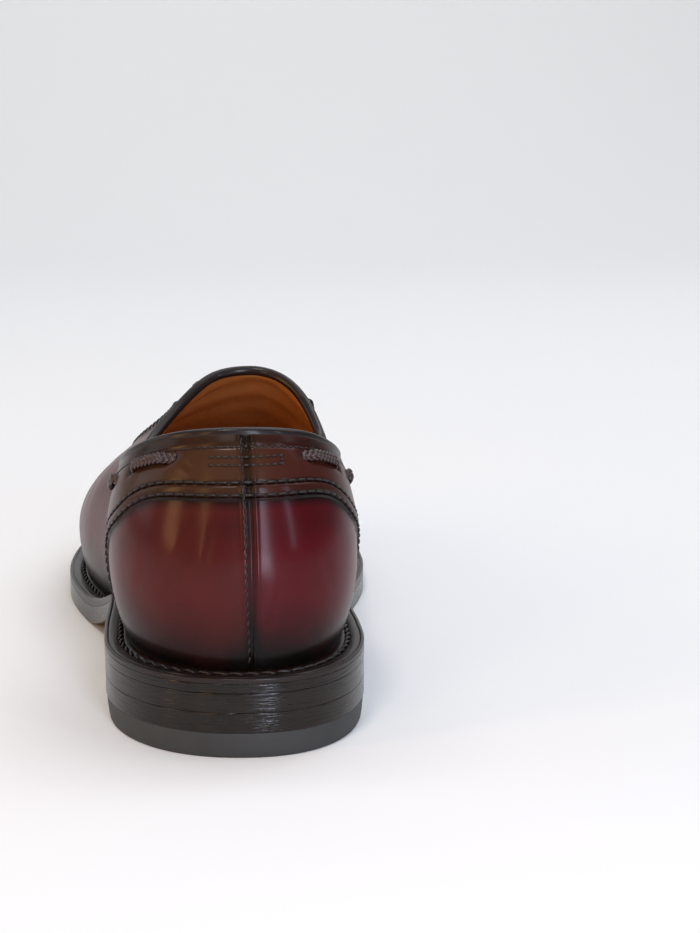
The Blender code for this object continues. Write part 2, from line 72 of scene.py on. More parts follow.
THROAT_CORNER, THROAT_ANGLE, THROAT_DEPTH, THROAT_BOW_END = 86.0, 50.0, 12.0, 150.0
APRON_TOE_TURN = 13.0
WIDEST_SHARE = 0.25
LAST_COLUMNS = ("y", "outer", "inner", "ridge_x", "ridge_z", "widest_z", "outer_fall", "inner_fall")
LAST = np.array((
    (0.0, 39.0, 35.4, 0.0, 114.0, 48.5, 1.45, 1.5),
    (25.0, 39.6, 35.2, 0.5, 111.0, 47.5, 1.5, 1.8),
    (60.0, 38.2, 35.4, 4.2, 102.0, 40.0, 1.5, 1.5),
    (95.0, 41.4, 37.2, 6.0, 91.7, 33.0, 1.75, 0.97),
    (130.0, 51.4, 41.4, 5.2, 74.5, 27.5, 1.2, 1.0),
    (165.0, 55.2, 45.4, 4.0, 60.0, 24.5, 1.0, 1.0),
    (200.0, 51.4, 41.4, 2.8, 49.0, 24.0, 1.0, 1.0),
))
SOLE_COLUMNS = ("y", "outer", "inner")
SOLE = np.array((
    (0.0, 40.0, 36.3),
    (25.0, 40.9, 36.1),
    (60.0, 40.4, 33.8),
    (95.0, 45.6, 36.4),
    (130.0, 55.0, 45.0),
    (165.0, 59.2, 49.9),
    (200.0, 55.0, 45.0),
))
TOPLINE = ((-36.0, 90.6), (-20.0, 88.0), (0.0, 79.8), (25.0, 71.4), (50.0, 67.0), (70.0, 70.0))


def spline(xs, ys, x):
    """Natural cubic spline: its bends solve the tridiagonal system of equal slopes at each knot."""
    xs, ys, x = (np.asarray(v, float) for v in (xs, ys, x))
    step, slope = np.diff(xs), np.diff(ys) / np.diff(xs)
    system, right = np.eye(len(xs)), np.zeros(len(xs))
    for i in range(1, len(xs) - 1):
        system[i, i - 1 : i + 2] = step[i - 1], 2 * (step[i - 1] + step[i]), step[i]
        right[i] = 6 * (slope[i] - slope[i - 1])
    bend = np.linalg.solve(system, right)
    i = np.clip(np.searchsorted(xs, x) - 1, 0, len(xs) - 2)
    a, b, h = xs[i + 1] - x, x - xs[i], step[i]
    curve = (bend[i] * a**3 + bend[i + 1] * b**3) / (6 * h)
    return curve + (ys[i] / h - bend[i] * h / 6) * a + (ys[i + 1] / h - bend[i + 1] * h / 6) * b


def read(table, columns, name, y):
    return spline(table[:, 0], table[:, columns.index(name)], y)


def ease(value, start, end):
    """0 before start and 1 after end, by 3t^2 - 2t^3 between them."""
    t = np.clip((np.asarray(value, float) - start) / (end - start), 0, 1)
    return t * t * (3 - 2 * t)


def hill(value, centre, width):
    """A bump of height 1: e to the minus of the squared distance over the width squared."""
    return np.exp(-(((value - centre) / width) ** 2))


def thickness(ends, y):
    return ends[0] + (ends[1] - ends[0]) * ease(y, *THICKENING)


def outsole_bottom(y):
    """Heel height, falling to the floor along the shank, and a parabola of toe spring."""
    spring = np.clip(y - TREAD_END, 0, None) / (TOE_CENTRE + TOE_REACH - TREAD_END)
    return HEEL_HEIGHT * (1 - ease(y, SHANK_START, SHANK_END)) + TOE_SPRING * spring**2


def outsole_top(y):
    return outsole_bottom(y) + thickness(OUTSOLE_THICKNESS, y)


def welt_top(y):
    return outsole_top(y) + GAP + thickness(WELT_THICKNESS, y)


def lean(y):
    return HEEL_LEAN * np.clip(HEEL_LEAN_START - y, 0, None) ** 2


def station(u):
    """Centre and plan direction at u: 0 to 1 fans round the heel, 1 to 2 runs along, 2 to 3 fans
    round the toe."""
    u = np.asarray(u, float)
    turn = (np.clip(u, 0, 1) - 1 + np.clip(u - 2, 0, 1)) * math.pi / 2
    y = HEEL_CENTRE + (TOE_CENTRE - HEEL_CENTRE) * np.clip(u - 1, 0, 1)
    return y, np.cos(turn), np.sin(turn)


def u_of(y):
    return 1 + (np.asarray(y, float) - HEEL_CENTRE) / (TOE_CENTRE - HEEL_CENTRE)


def reach(side, u, table, columns, heel, toe, inset=0.0):
    """Distance from the ridge line to the plan outline, a superellipse at heel and toe."""
    y, across, along = station(u)
    half = read(table, columns, "outer" if side < 0 else "inner", y) - inset
    half = half - side * read(LAST, LAST_COLUMNS, "ridge_x", y)
    power = np.where(along < 0, HEEL_ROUNDNESS, TOE_ROUNDNESS[side])
    end = np.where(along < 0, heel, toe) - inset
    return ((across / half) ** power + (np.abs(along) / end) ** power) ** (-1 / power)


def placed(side, u, radius, height):
    y, across, along = station(u)
    x = read(LAST, LAST_COLUMNS, "ridge_x", y) + side * across * radius
    y = y + along * radius
    return np.stack(np.broadcast_arrays(x + lean(y), y, height), -1)


def sole_edge(side, u, inset, height):
    """Point on the sole's outline, moved in by inset, at height(y)."""
    flat = placed(side, u, reach(side, u, SOLE, SOLE_COLUMNS, HEEL_REACH, TOE_REACH, inset), 0.0)
    flat[..., 2] = height(flat[..., 1])
    return flat


def last(side, u, t):
    """Point of the last. Below its widest line a rib is a parabola in to the welt, and above it
    the width goes as a power of cos and the height as sin of the angle up to the ridge line."""
    u, t = np.broadcast_arrays(np.asarray(u, float), np.asarray(t, float))
    y, across, along = station(u)
    wide = reach(side, u, LAST, LAST_COLUMNS, UPPER_HEEL_REACH, UPPER_TOE_REACH)
    foot = reach(side, u, SOLE, SOLE_COLUMNS, HEEL_REACH, TOE_REACH, LEDGE)
    foot_z = welt_top(y + along * foot) + GAP
    ahead = np.clip(along, 0, 1)
    wide_z = read(LAST, LAST_COLUMNS, "widest_z", y) + TOE_LIFT * ahead**2
    ridge_z = read(LAST, LAST_COLUMNS, "ridge_z", y)
    below = np.clip(1 - t / WIDEST_SHARE, 0, 1)
    angle = np.clip((t - WIDEST_SHARE) / (1 - WIDEST_SHARE), 0, 1) * math.pi / 2
    outer, inner = (read(LAST, LAST_COLUMNS, name, y) for name in ("outer_fall", "inner_fall"))
    fall_in = (outer if side < 0 else inner) * across + (outer + inner) / 2 * (1 - across)
    fall_in = 1 + (fall_in - 1) * (1 - np.sin(angle) ** 4)
    above = wide * np.clip(np.cos(angle), 0, 1) ** fall_in
    radius = np.where(t < WIDEST_SHARE, wide - (wide - foot) * below**2, above)
    fall = -ahead * (TOE_FALL * radius - TOE_EASE * radius**2)
    low = wide_z - (wide_z - foot_z) * below
    high = wide_z + (ridge_z + fall - wide_z) * np.sin(angle)
    return placed(side, u, radius, np.where(t < WIDEST_SHARE, low, high))


def normal_of(side, u, t):
    """Unit cross product of the last's two slopes, pointing out."""
    u, t = np.broadcast_arrays(np.asarray(u, float), np.asarray(t, float))
    d = 1e-3
    low = np.clip(t, d, 1 - 2 * d)
    along = last(side, u + d, low) - last(side, u - d, low)
    across = side * np.cross(along, last(side, u, low + d) - last(side, u, low))
    return across / np.linalg.norm(across, axis=-1, keepdims=True)


def outside(side, u, t, out):
    return last(side, u, t) + normal_of(side, u, t) * np.asarray(out)[..., None]


def rib_angle(degrees):
    return WIDEST_SHARE + (1 - WIDEST_SHARE) * degrees / 90


def on_vamp(side, y, degrees, out):
    return outside(side, u_of(y), rib_angle(np.asarray(degrees, float)), out)


def paced(points, step, *carried):
    """Points at equal steps of arc length along a path, and what is carried with them."""
    run = np.concatenate([[0], np.cumsum(np.linalg.norm(np.diff(points, axis=0), axis=1))])
    count = max(2, int(round(run[-1] / step)) + 1)
    at = np.linspace(0, run[-1], count)
    return [np.stack([np.interp(at, run, c[:, k]) for k in range(3)], -1) for c in (points, *carried)]


def unit(vectors):
    return vectors / np.linalg.norm(vectors, axis=-1, keepdims=True)


def grid_faces(rows, columns, wrap=False):
    """Quads between the neighbours of a grid numbered row by row."""
    i = np.arange(rows * columns).reshape(rows, columns)
    if wrap:
        i = np.concatenate([i, i[:, :1]], axis=1)
    return np.stack([i[:-1, :-1], i[:-1, 1:], i[1:, 1:], i[1:, :-1]], -1).reshape(-1, 4)


def sheet(grid, wrap=False):
    """A grid of points as one list of points and one of faces."""
    return grid.reshape(-1, 3), grid_faces(*grid.shape[:2], wrap)


def joined(parts):
    """One list of points and one of faces from many."""
    starts = np.cumsum([0] + [len(points) for points, _ in parts])
    faces = [face + start for (_, face), start in zip(parts, starts)]
    return np.concatenate([points for points, _ in parts]), np.concatenate(faces)


def tube(centre, side, up, half_side, half_up, around=10):
    """Elliptic section carried along a path: centre + side a cos(w) + up b sin(w), with its two
    ends drawn in to a point by a quarter circle."""
    turn = np.linspace(0, 2 * math.pi, around, endpoint=False)
    end = np.minimum(np.arange(len(centre)), np.arange(len(centre))[::-1]) / 3
    size = np.sqrt(1 - (1 - np.clip(end, 0, 1)) ** 2)[:, None, None]
    ring = side[:, None] * (np.cos(turn)[:, None] * half_side)
    ring = ring + up[:, None] * (np.sin(turn)[:, None] * half_up)
    return sheet(centre[:, None] + ring * size, wrap=True)


STRAND, STRAND_STEP = (0.85, 0.52), 0.32


def plait(path, out, width, thick, pitch):
    """Three strands along a path. Strand k swings across by width sin(a) and up by
    thick sin(2a), where a = 2 pi (s / pitch + k / 3)."""
    path, out = paced(path, STRAND_STEP, out)
    ahead = unit(np.gradient(path, axis=0))
    out = unit(out - ahead * np.sum(out * ahead, axis=1, keepdims=True))
    across = np.cross(ahead, out)
    run = np.arange(len(path)) * STRAND_STEP
    parts = []
    for k in range(3):
        a = 2 * math.pi * (run / pitch + k / 3)[:, None]
        line = path + across * width * np.sin(a) + out * thick * np.sin(2 * a)
        going = unit(np.gradient(line, axis=0))
        parts.append(tube(line, unit(np.cross(going, out)), out, *STRAND))
    return joined(parts)


def make_piece(name, points, faces, finish, stands_for=(), slot=None, marks=None, more=()):
    """A mesh in the row's frame. Points that meet are merged, its normals are recalculated, and
    marks are numbers that its material reads."""
    mesh = bpy.data.meshes.new(name)
    mesh.from_pydata((points * 0.001).tolist(), [], faces.tolist() + list(more))
    for mark, values in (marks or {}).items():
        mesh.attributes.new(mark, "FLOAT", "POINT").data.foreach_set("value", values.ravel())
    build = bmesh.new()
    build.from_mesh(mesh)
    bmesh.ops.remove_doubles(build, verts=build.verts, dist=4e-6)
    bmesh.ops.recalc_face_normals(build, faces=build.faces)
    build.to_mesh(mesh)
    build.free()
    mesh.shade_smooth()
    mesh.materials.append(finish)
    made = bpy.data.objects.new(name, mesh)
    bpy.context.scene.collection.objects.link(made)
    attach(made, "root")
    if stands_for:
        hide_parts(*stands_for)
    return made


def linear(code):
    """A six-figure sRGB colour as linear red, green, blue and alpha."""
    s = np.array([int(code[i : i + 2], 16) for i in (0, 2, 4)]) / 255
    return (*np.where(s > 0.04045, ((s + 0.055) / 1.055) ** 2.4, s / 12.92), 1.0)


def new_material(name):
    made = bpy.data.materials.new(name)
    made.use_nodes = True
    made.node_tree.nodes.clear()
    return made


def node(material, kind, inputs=None, **settings):
    """Adds a shader node with its settings, and sets or links its inputs by name or number."""
    made = material.node_tree.nodes.new("ShaderNode" + kind)
    for name, value in settings.items():
        setattr(made, name, value)
    for name, value in (inputs or {}).items():
        if isinstance(value, bpy.types.NodeSocket):
            material.node_tree.links.new(value, made.inputs[name])
        else:
            made.inputs[name].default_value = value
    return made


def mottled(name, dark, light, cloud, pores, bump, surface):
    """A material whose colour drifts between two by a noise, cloud, and which is dimpled by a finer
    one, pores. Both are scale per metre, detail and roughness if any. Bump is strength, metres."""
    made = new_material(name)
    place = node(made, "TexCoord").outputs["Object"]
    values = [dict(zip(("Scale", "Detail", "Roughness"), row), Vector=place) for row in (cloud, pores)]
    drift, dimples = (node(made, "TexNoise", row).outputs["Fac"] for row in values)
    hue = node(made, "Mix", {0: drift, 6: linear(dark), 7: linear(light)}, data_type="RGBA")
    normal = node(made, "Bump", {"Height": dimples, "Strength": bump[0], "Distance": bump[1]})
    colour = {"Base Color": hue.outputs[2], "Normal": normal.outputs[0]}
    shader = node(made, "BsdfPrincipled", {**colour, **surface})
    node(made, "OutputMaterial", {"Surface": shader.outputs[0]})
    return made


# Aniline calf, burnished: a deep wine red that a brush and dark cream bring to near black along
# seams and edges, a dark mark that also holds painted shade in the lace slots, under the counter's
# edge and in the back seam's trough. Under the polish it has a very fine, shallow grain.
calf = new_material("burnished_calf")
place = node(calf, "TexCoord").outputs["Object"]
# burnish, with painted shade in the lace slots, under the counter's edge and in the back seam's trough
dark_share = node(calf, "Attribute", attribute_name="burnish").outputs["Fac"]
# painted warm reflection: a share of brown mixed into the wine red on the collar and the outer side
warm_reflection_share = node(calf, "Attribute", attribute_name="browned").outputs["Fac"]
cloud = node(calf, "TexNoise", {"Vector": place, "Scale": 34.0, "Detail": 4.0, "Roughness": 0.55})
mottle = node(calf, "MapRange", {0: cloud.outputs["Fac"], 1: 0.35, 2: 0.65, 3: -0.16, 4: 0.16})
darkened = node(calf, "Math", {0: dark_share, 1: mottle.outputs[0]}, operation="ADD", use_clamp=True)
# the brown 452a1a is the painted warm reflection's colour
wine_or_warm_reflection = node(calf, "Mix", {0: warm_reflection_share, 6: linear("4c0911"), 7: linear("452a1a")}, data_type="RGBA")
wine = node(calf, "Mix", {0: darkened.outputs[0], 6: wine_or_warm_reflection.outputs[2], 7: linear("080403")}, data_type="RGBA")
GRAIN_MM, CREASE_MM = 0.55, 2.4
fine = node(calf, "TexNoise", {"Vector": place, "Scale": 1000 / GRAIN_MM, "Detail": 3.0})
coarse = node(calf, "TexVoronoi", {"Vector": place, "Scale": 1000 / CREASE_MM}, feature="SMOOTH_F1")
pitted = {0: coarse.outputs["Distance"], 1: 0.35, 2: fine.outputs["Fac"]}
both = node(calf, "Math", pitted, operation="MULTIPLY_ADD")
grain = node(calf, "Bump", {"Height": both.outputs[0], "Strength": 0.28, "Distance": 0.00006})
worn = node(calf, "MapRange", {0: cloud.outputs["Fac"], 1: 0.3, 2: 0.7, 3: 0.33, 4: 0.45})
skin_shader = node(calf, "BsdfPrincipled", {
    "Base Color": wine.outputs[2], "Roughness": worn.outputs[0], "Normal": grain.outputs[0],
    "Specular IOR Level": 0.05, "Coat Weight": 0.34, "Coat Roughness": 0.2, "Coat IOR": 1.45,
})
node(calf, "OutputMaterial", {"Surface": skin_shader.outputs[0]})

# The same calf cut in narrow strips and plaited, darker because the dye gathers in its edges.
lace_calf = mottled(
    "plaited_calf", "1c0d0b", "3b1c17", (400.0, 2.0), (2500.0, 2.0), (0.3, 0.00006),
    {"Roughness": 0.42, "Coat Weight": 0.3, "Coat Roughness": 0.2},
)

LACE_PLAIT = (0.85, 0.35, 5.2)
KNOT = np.array((7.5, 5.5, 3.4))
KNOT_Y, KNOT_LIFT = 118.0, 0.55
KNOT_PORTS = {"throat": (-42.0, -24.0), "end": (48.0, -24.0)}
# y, angle of the rib in degrees, height over the vamp. Its first points rise from the eyelet.
EYELET = (103.6, 65.8)
THROAT_ROUTE = (
    (*EYELET, -1.2), (104.2, 66.3, 0.8), (105.5, 67.5, 1.8), (107.5, 69.5, 2.0), (110.0, 71.5, 2.1),
)
END_ROUTE = ((126.0, 74.5, 2.6), (128.5, 73.5, 3.4), (131.0, 73.0, 4.2))
knot_centre = on_vamp(1, KNOT_Y, 89.5, KNOT[2] + KNOT_LIFT)
step = np.diff(last(1, u_of([KNOT_Y - 2, KNOT_Y + 2]), 0.99), axis=0)[0]
slope = math.atan2(step[2], step[1])
knot_turn = np.array([
    [1, 0, 0], [0, math.cos(slope), -math.sin(slope)], [0, math.sin(slope), math.cos(slope)],
])
UP = knot_turn[:, 2]


def knot_port(side, stretch):
    """Where a stretch of lace meets the knot: the end of a ray from its centre to an ellipsoid."""
    plan, lift = (math.radians(angle) for angle in KNOT_PORTS[stretch])
    ray = (side * math.cos(plan) * math.cos(lift), math.sin(plan) * math.cos(lift), math.sin(lift))
    return knot_centre + knot_turn @ (np.array(ray) * KNOT)


lace_paths = {}
for side in (-1, 1):
    throat, end = (on_vamp(side, *np.array(rows).T) for rows in (THROAT_ROUTE, END_ROUTE))
    inside = knot_centre + np.array([side * 3.4, 0, 0])
    knots = np.vstack([throat, knot_port(side, "throat"), inside, knot_port(side, "end"), end])
    run = np.arange(len(knots))
    fine_run = np.linspace(0, run[-1], 120)
    lace_paths[side] = np.stack([spline(run, knots[:, k], fine_run) for k in range(3)], -1)

# The tassels: a wrapped cap and eleven strips cut from one piece of calf with pointed ends. They
# are tied on the lace's ends and lie on the apron.
TASSEL_END = (162.0, 66.0, 3.6)
STRIP_COUNT, STRIP_WIDTH, STRIP_THICK = 11, 2.5, 0.9
CAP_LENGTH, CAP_RADIUS, CAP_TURNS = 9.0, 2.5, 3.6
# a strip's section in shares of its width and thickness, crowned above and below
CROWN = np.array((
    (-0.5, 0), (-0.46, 0.42), (0, 0.5), (0.46, 0.42), (0.5, 0), (0.46, -0.42), (0, -0.4), (-0.46, -0.42),
))
for side, name in SIDES:
    tip = on_vamp(side, *END_ROUTE[-1])
    end, ground = on_vamp(side, *TASSEL_END), on_vamp(side, *TASSEL_END[:2], 0.0)
    axis = unit(end - tip)
    start = tip + axis * (GAP + 0.2)
    length = np.linalg.norm(end - start)
    up = end - ground
    up = unit(up - axis * up.dot(axis))
    wide = np.cross(axis, up)
    turn = np.linspace(0, 2 * math.pi * CAP_TURNS, 150)
    pitch = CAP_LENGTH * turn / turn[-1]
    radius = CAP_RADIUS * (0.62 + 0.38 * ease(pitch, 0, 2.0))[:, None]
    ring = wide * np.cos(turn)[:, None] + up * np.sin(turn)[:, None]
    coil = start + axis * (0.8 + pitch[:, None] * 0.8) + ring * radius
    parts = [tube(coil, np.broadcast_to(axis, coil.shape), ring, 1.15, 0.75, 8)]
    core = start + axis * np.linspace(0.2, CAP_LENGTH + 3, 12)[:, None]
    axes = (np.broadcast_to(way, core.shape) for way in (wide, up))
    parts.append(tube(core, *axes, 2.3, 2.1))
    for k in range(STRIP_COUNT):
        share = 2 * k / (STRIP_COUNT - 1) - 1
        layer = 0.9 if k % 2 else -0.9
        s = np.linspace(0, 1, 26)[:, None]
        long = length - CAP_LENGTH + 3.2 + 1.0 * math.sin(2.3 * k + side)
        sway = 0.55 * math.sin(1.9 * k + 0.6 * side)
        line = start + axis * (CAP_LENGTH - 2.6 + s * long)
        line = line + wide * (share * (2.0 + 5.6 * s**1.15) + sway * np.sin(3.1 * s))
        line = line + up * (layer + (0.35 - share**2 * 0.7) * np.sin(2.8 * s))
        narrow = np.clip((1 - s) / 0.16, 0.06, 1) * (0.72 + 0.28 * ease(s, 0, 0.3))
        twist = 0.22 * math.sin(1.3 * k) * s
        flat = wide * np.cos(twist) + up * np.sin(twist)
        section = flat[:, None] * (CROWN[:, :1] * STRIP_WIDTH) * narrow[:, None]
        parts.append(sheet(line[:, None] + section + up * (CROWN[:, 1:] * STRIP_THICK), wrap=True))
    make_piece(
        f"tassel_of_strips_{name}", *joined(parts), lace_calf, (f"tassel_{name}",), "calf",
    )

# The knot: the plait wound in a barrel of turns over both ends, pulled tight.
TURNS, BARREL = 3.2, (5.6, 4.1, 2.2)
wound = np.linspace(-1, 1, 260)
turn = math.pi * TURNS * wound
round_in = np.sqrt(1 - (0.82 * wound) ** 2)
coil = np.stack([wound, round_in * np.cos(turn), round_in * np.sin(turn)], -1) * BARREL
outward = np.stack([0.25 * wound, np.cos(turn) / BARREL[1], np.sin(turn) / BARREL[2]], -1)
knot = make_piece(
    "wound_knot",
    *plait(coil @ knot_turn.T + knot_centre, unit(outward) @ knot_turn.T, 0.95, 0.32, 5.2),
    lace_calf, ("lace_knot",), "calf",
)

for side, name in SIDES:
    path = lace_paths[side]
    out = np.broadcast_to(UP + np.array([side * 0.35, 0, 0]), path.shape)
    lace = make_piece(
        f"plaited_lace_{name}", *plait(path, out, *LACE_PLAIT), lace_calf,
        (f"lace_throat_{name}", f"lace_end_{name}"), "calf",
    )


# The upper's outer leather: counter, quarters and vamp as one skin over the last, with a raised
# hand-sewn apron. The counter and collar meet in a double row of stitches with a rounded strip
# between, and the back seam is a narrow trough between two folded edges.
COUNTER_SEAM = np.array((
    (-32.0, 71.5), (-22.0, 71.0), (-14.0, 67.6), (-6.0, 61.4), (2.0, 56.2), (9.0, 50.2),
    (14.0, 42.5), (17.5, 33.0), (19.5, 24.0), (20.8, 17.0),
))
COUNTER_DEPTH = 0.8
SEAM_ROWS = (1.1, 4.4)
LACE_DROP = 5.5
LACE_STRETCHES = (("rear", -17.0, -5.0), ("front", 8.0, 44.0))
RIDGE_HEIGHT, RIDGE_RISE, APRON_STITCH_PITCH = 1.1, 12.0, 4.4


def split(*knots):
    """Even steps between knots: (start, end, count) rows, with shared ends given once."""
    return np.unique(np.concatenate([np.linspace(a, b, n + 1) for a, b, n in knots]).round(9))


def t_at_height(side, u, height):
    """Halving search for the rib parameter where the last reaches height(y)."""
    low, high = np.zeros_like(u), np.full_like(u, 0.97)
    for _ in range(36):
        middle = (low + high) / 2
        point = last(side, u, middle)
        under = point[..., 2] < height(point[..., 1])
        low, high = np.where(under, middle, low), np.where(under, high, middle)
    return low


def topline(side, y):
    corner = last(side, u_of(THROAT_CORNER), rib_angle(THROAT_ANGLE))
    rows = np.array(TOPLINE + ((THROAT_CORNER, corner[2]),))
    return spline(*rows.T, np.clip(y, TOPLINE[0][0], THROAT_CORNER))


def apron_t(u):
    return rib_angle(THROAT_ANGLE - APRON_TOE_TURN * np.clip(station(u)[2], 0, 1) ** 2)


def edge_t(side, u):
    """The opening's edge behind the throat's corner, and the apron seam ahead of it."""
    opening = t_at_height(side, u, lambda y: topline(side, y))
    return np.where(u < u_of(THROAT_CORNER) - 1e-6, opening, apron_t(u))


def bowed(u, share):
    """Station of an apron point: rows bow to the toe by the sine of their share of the rib."""
    y = station(u)[0]
    fade = 1 - ease(y, THROAT_CORNER, THROAT_BOW_END)
    return np.where(u > 2, u, u_of(y + THROAT_DEPTH * np.sin(share * math.pi / 2) * fade))


count = np.arange(len(COUNTER_SEAM))
fine_count = np.linspace(0, count[-1], 110)
seam_line = np.stack([spline(count, column, fine_count) for column in COUNTER_SEAM.T], -1)
seam_line = np.vstack([(-60.0, 71.5), seam_line, (24.0, 0.0)])


def from_seam(point):
    """Distance over the counter's edge in side view: to the nearest place on its line, and less
    than 0 on the counter's side."""
    flat = point[..., 1:3].reshape(-1, 1, 2)
    start, along = seam_line[:-1], np.diff(seam_line, axis=0)
    share = np.clip(np.sum((flat - start) * along, axis=-1) / np.sum(along**2, axis=-1), 0, 1)
    off = flat - start - share[..., None] * along
    far = np.linalg.norm(off, axis=-1)
    rows, nearest = np.arange(len(flat)), far.argmin(axis=1)
    way, off = along[nearest], off[rows, nearest]
    over = np.sign(way[:, 0] * off[:, 1] - way[:, 1] * off[:, 0])
    return (over * far[rows, nearest]).reshape(point.shape[:-1])


def seam_row(side, over):
    """Stations and rib parameters of a row at a distance over the counter's edge: halving search
    along the rib round the heel, and along the foot where the row comes down to the welt."""
    u = split((0.004, 0.6, 120))
    low, high = np.zeros_like(u), np.full_like(u, 0.9)
    for _ in range(24):
        middle = (low + high) / 2
        under = from_seam(last(side, u, middle)) < over
        low, high = np.where(under, middle, low), np.where(under, high, middle)
    across = unit(np.gradient(seam_line, axis=0))[:, ::-1] * (-1, 1)
    line = seam_line + across * over
    line = line[line[:, 0] > last(side, u[-1], low[-1])[1] + 0.2]
    near, far = np.full(len(line), 0.3), np.full(len(line), 1.6)
    for _ in range(24):
        middle = (near + far) / 2
        t = t_at_height(side, middle, lambda y: line[:, 1])
        behind = last(side, middle, t)[:, 1] < line[:, 0]
        near, far = np.where(behind, middle, near), np.where(behind, far, middle)
    t = t_at_height(side, near, lambda y: line[:, 1])
    u, t = np.concatenate([u, near]), np.concatenate([low, t])
    return u[t > 0.004], t[t > 0.004]


def crease(point, start, end, width):
    """A soft trough between two (x, z) places behind: a hill across it that fades to its ends."""
    start, way = np.array(start), np.subtract(end, start)
    off = point[..., ::2] - start
    share = off @ way / (way @ way)
    beside = (off[..., 0] * way[1] - off[..., 1] * way[0]) / np.linalg.norm(way)
    fade = ease(share, -0.1, 0.3) * (1 - ease(share, 0.6, 1.1))
    return -(hill(beside, 0, width) - 0.6 * hill(beside, 1.7 * width, width)) * fade


def ripple(point, pitch, angle, bend=0.0):
    """Sine of the distance along a direction in side view, bent by height."""
    along = point[..., 1] * math.cos(angle) + point[..., 2] * math.sin(angle)
    return np.sin(2 * math.pi * (along + bend * point[..., 2] ** 2) / pitch)


# (x, z) of a crease's two ends on the back of the heel, its width and depth
CREASES = (
    ((-14.5, 63.0), (-24.0, 39.0), 1.5, 0.16),
    ((-8.0, 66.0), (-12.5, 47.0), 1.1, 0.08),
    ((-27.0, 58.0), (-31.0, 40.0), 1.3, 0.1),
    ((19.0, 65.0), (26.0, 44.0), 1.3, 0.12),
    ((11.0, 50.0), (7.0, 34.0), 1.2, 0.07),
    ((-17.0, 81.0), (-11.0, 77.5), 0.9, 0.1),
    ((23.0, 84.0), (17.0, 79.0), 0.9, 0.1),
)


def relief(side, point, top):
    """Height of the skin over the last: the counter's step with its strip and two grooves, the
    back seam's trough and folds, the groove of the top row, slots of the lace, soft creases."""
    x, y, z = np.moveaxis(point, -1, 0)
    d = from_seam(point)
    step_down = -COUNTER_DEPTH * (1 - ease(d, -0.4, 0.1))
    strip = 0.22 * hill(d, 2.8, 1.2) - 0.15 * (1 - ease(d, 0.6, 1.2))
    grooves = -0.55 * hill(d, SEAM_ROWS[0] - 0.25, 0.4) - 0.6 * hill(d, SEAM_ROWS[1] - 0.3, 0.45)
    raised = step_down + (strip + grooves) * ease(d, -0.2, 0.3)
    behind = 1 - ease(y, -12.0, -4.0)
    s, narrow = x - lean(y), 0.4 + 0.5 * ease(z, 22.0, 48.0)
    trough = -0.45 * hill(s, 0.5 * narrow, 0.85 * narrow)
    folds = 0.26 * hill(s, -1.7 * narrow, 0.9 * narrow) + 0.16 * hill(s, 2.4 * narrow, 0.6)
    wander = 0.1 * np.sin(z / 3.1) * np.sin(z / 7.7 + 1.0) * hill(s, -0.7, 1.6)
    raised = raised + behind * (trough + folds + wander)
    raised = raised - 0.3 * hill(top, 3.3, 0.5) * (1 - ease(y, 84.0, 90.0))
    lace = z - (topline(side, y) - LACE_DROP)
    for _, low, high in LACE_STRETCHES:
        lies = ease(y, low - 1.5, low + 0.5) * (1 - ease(y, high - 0.5, high + 1.5))
        raised = raised - 0.5 * lies * hill(lace, -0.4, 1.7)
        for end in (low, high):
            raised = raised - 0.9 * hill(y, end, 1.3) * hill(lace, -0.5, 1.5)
    waist = hill(y, 66.0, 15.0) * hill(z, 50.0, 15.0)
    raised = raised + 0.16 * waist * ripple(point, 13.0, 0.5, 0.001)
    flex = hill(y, 148.0, 16.0) * ease(z, 30.0, 44.0)
    raised = raised + 0.1 * flex * ripple(point, 9.5, -0.25)
    cup = hill(y, -22.0, 22.0) * hill(z, 46.0, 26.0)
    raised = raised + 0.1 * cup * np.sin(x / 7.3 + 0.6) * np.sin(z / 11.0 + 1.1)
    for start, end, width, deep in CREASES:
        raised = raised + deep * (y < 5) * crease(point, start, end, width)
    return raised


def burnish(side, point, top, foot_z):
    """How dark the colour is: burnish, 1 at the welt, seams, back seam and collar, less between, and painted
    shade in the lace slots, under the counter's edge and in the back seam's trough.
    """
    x, y, z = np.moveaxis(point, -1, 0)
    d = from_seam(point)
    low = 1.0 - ease(z - foot_z, 1.0, 24.0) ** 0.8
    # burnish along the seam rows; the hill at d = -0.3 is painted shade at the foot of the counter's step,
    # under the overlapping collar
    rows = 0.35 * hill(d, 2.7, 3.0) + 0.5 * hill(d, SEAM_ROWS[1], 0.8) + 0.75 * hill(d, -0.3, 1.7)
    rows = rows + 0.4 * (1 - ease(d, -9.0, 0.0)) * ease(d, -16.0, -1.0)
    collar = 0.2 * ease(d, 0.0, 1.5) * (1 - ease(y, 20.0, 60.0))
    edge = 0.65 * hill(top, 1.5, 3.2)
    # partly burnish of the back seam, partly painted shade in its trough
    back = (1 - ease(y, -12.0, -4.0)) * (0.6 * hill(x - lean(y), 0.3, 1.9))
    toe = 0.7 * ease(y, 200.0, 256.0)
    # painted shadow where the lace dives into its slots
    slots = sum(
        hill(y, end, 1.5) * hill(z - topline(side, y) + LACE_DROP, -0.6, 1.2)
        for _, *ends in LACE_STRETCHES for end in ends
    )
    return np.clip(np.maximum.reduce([low, rows, collar, edge, toe]) + back + slots, 0, 1)


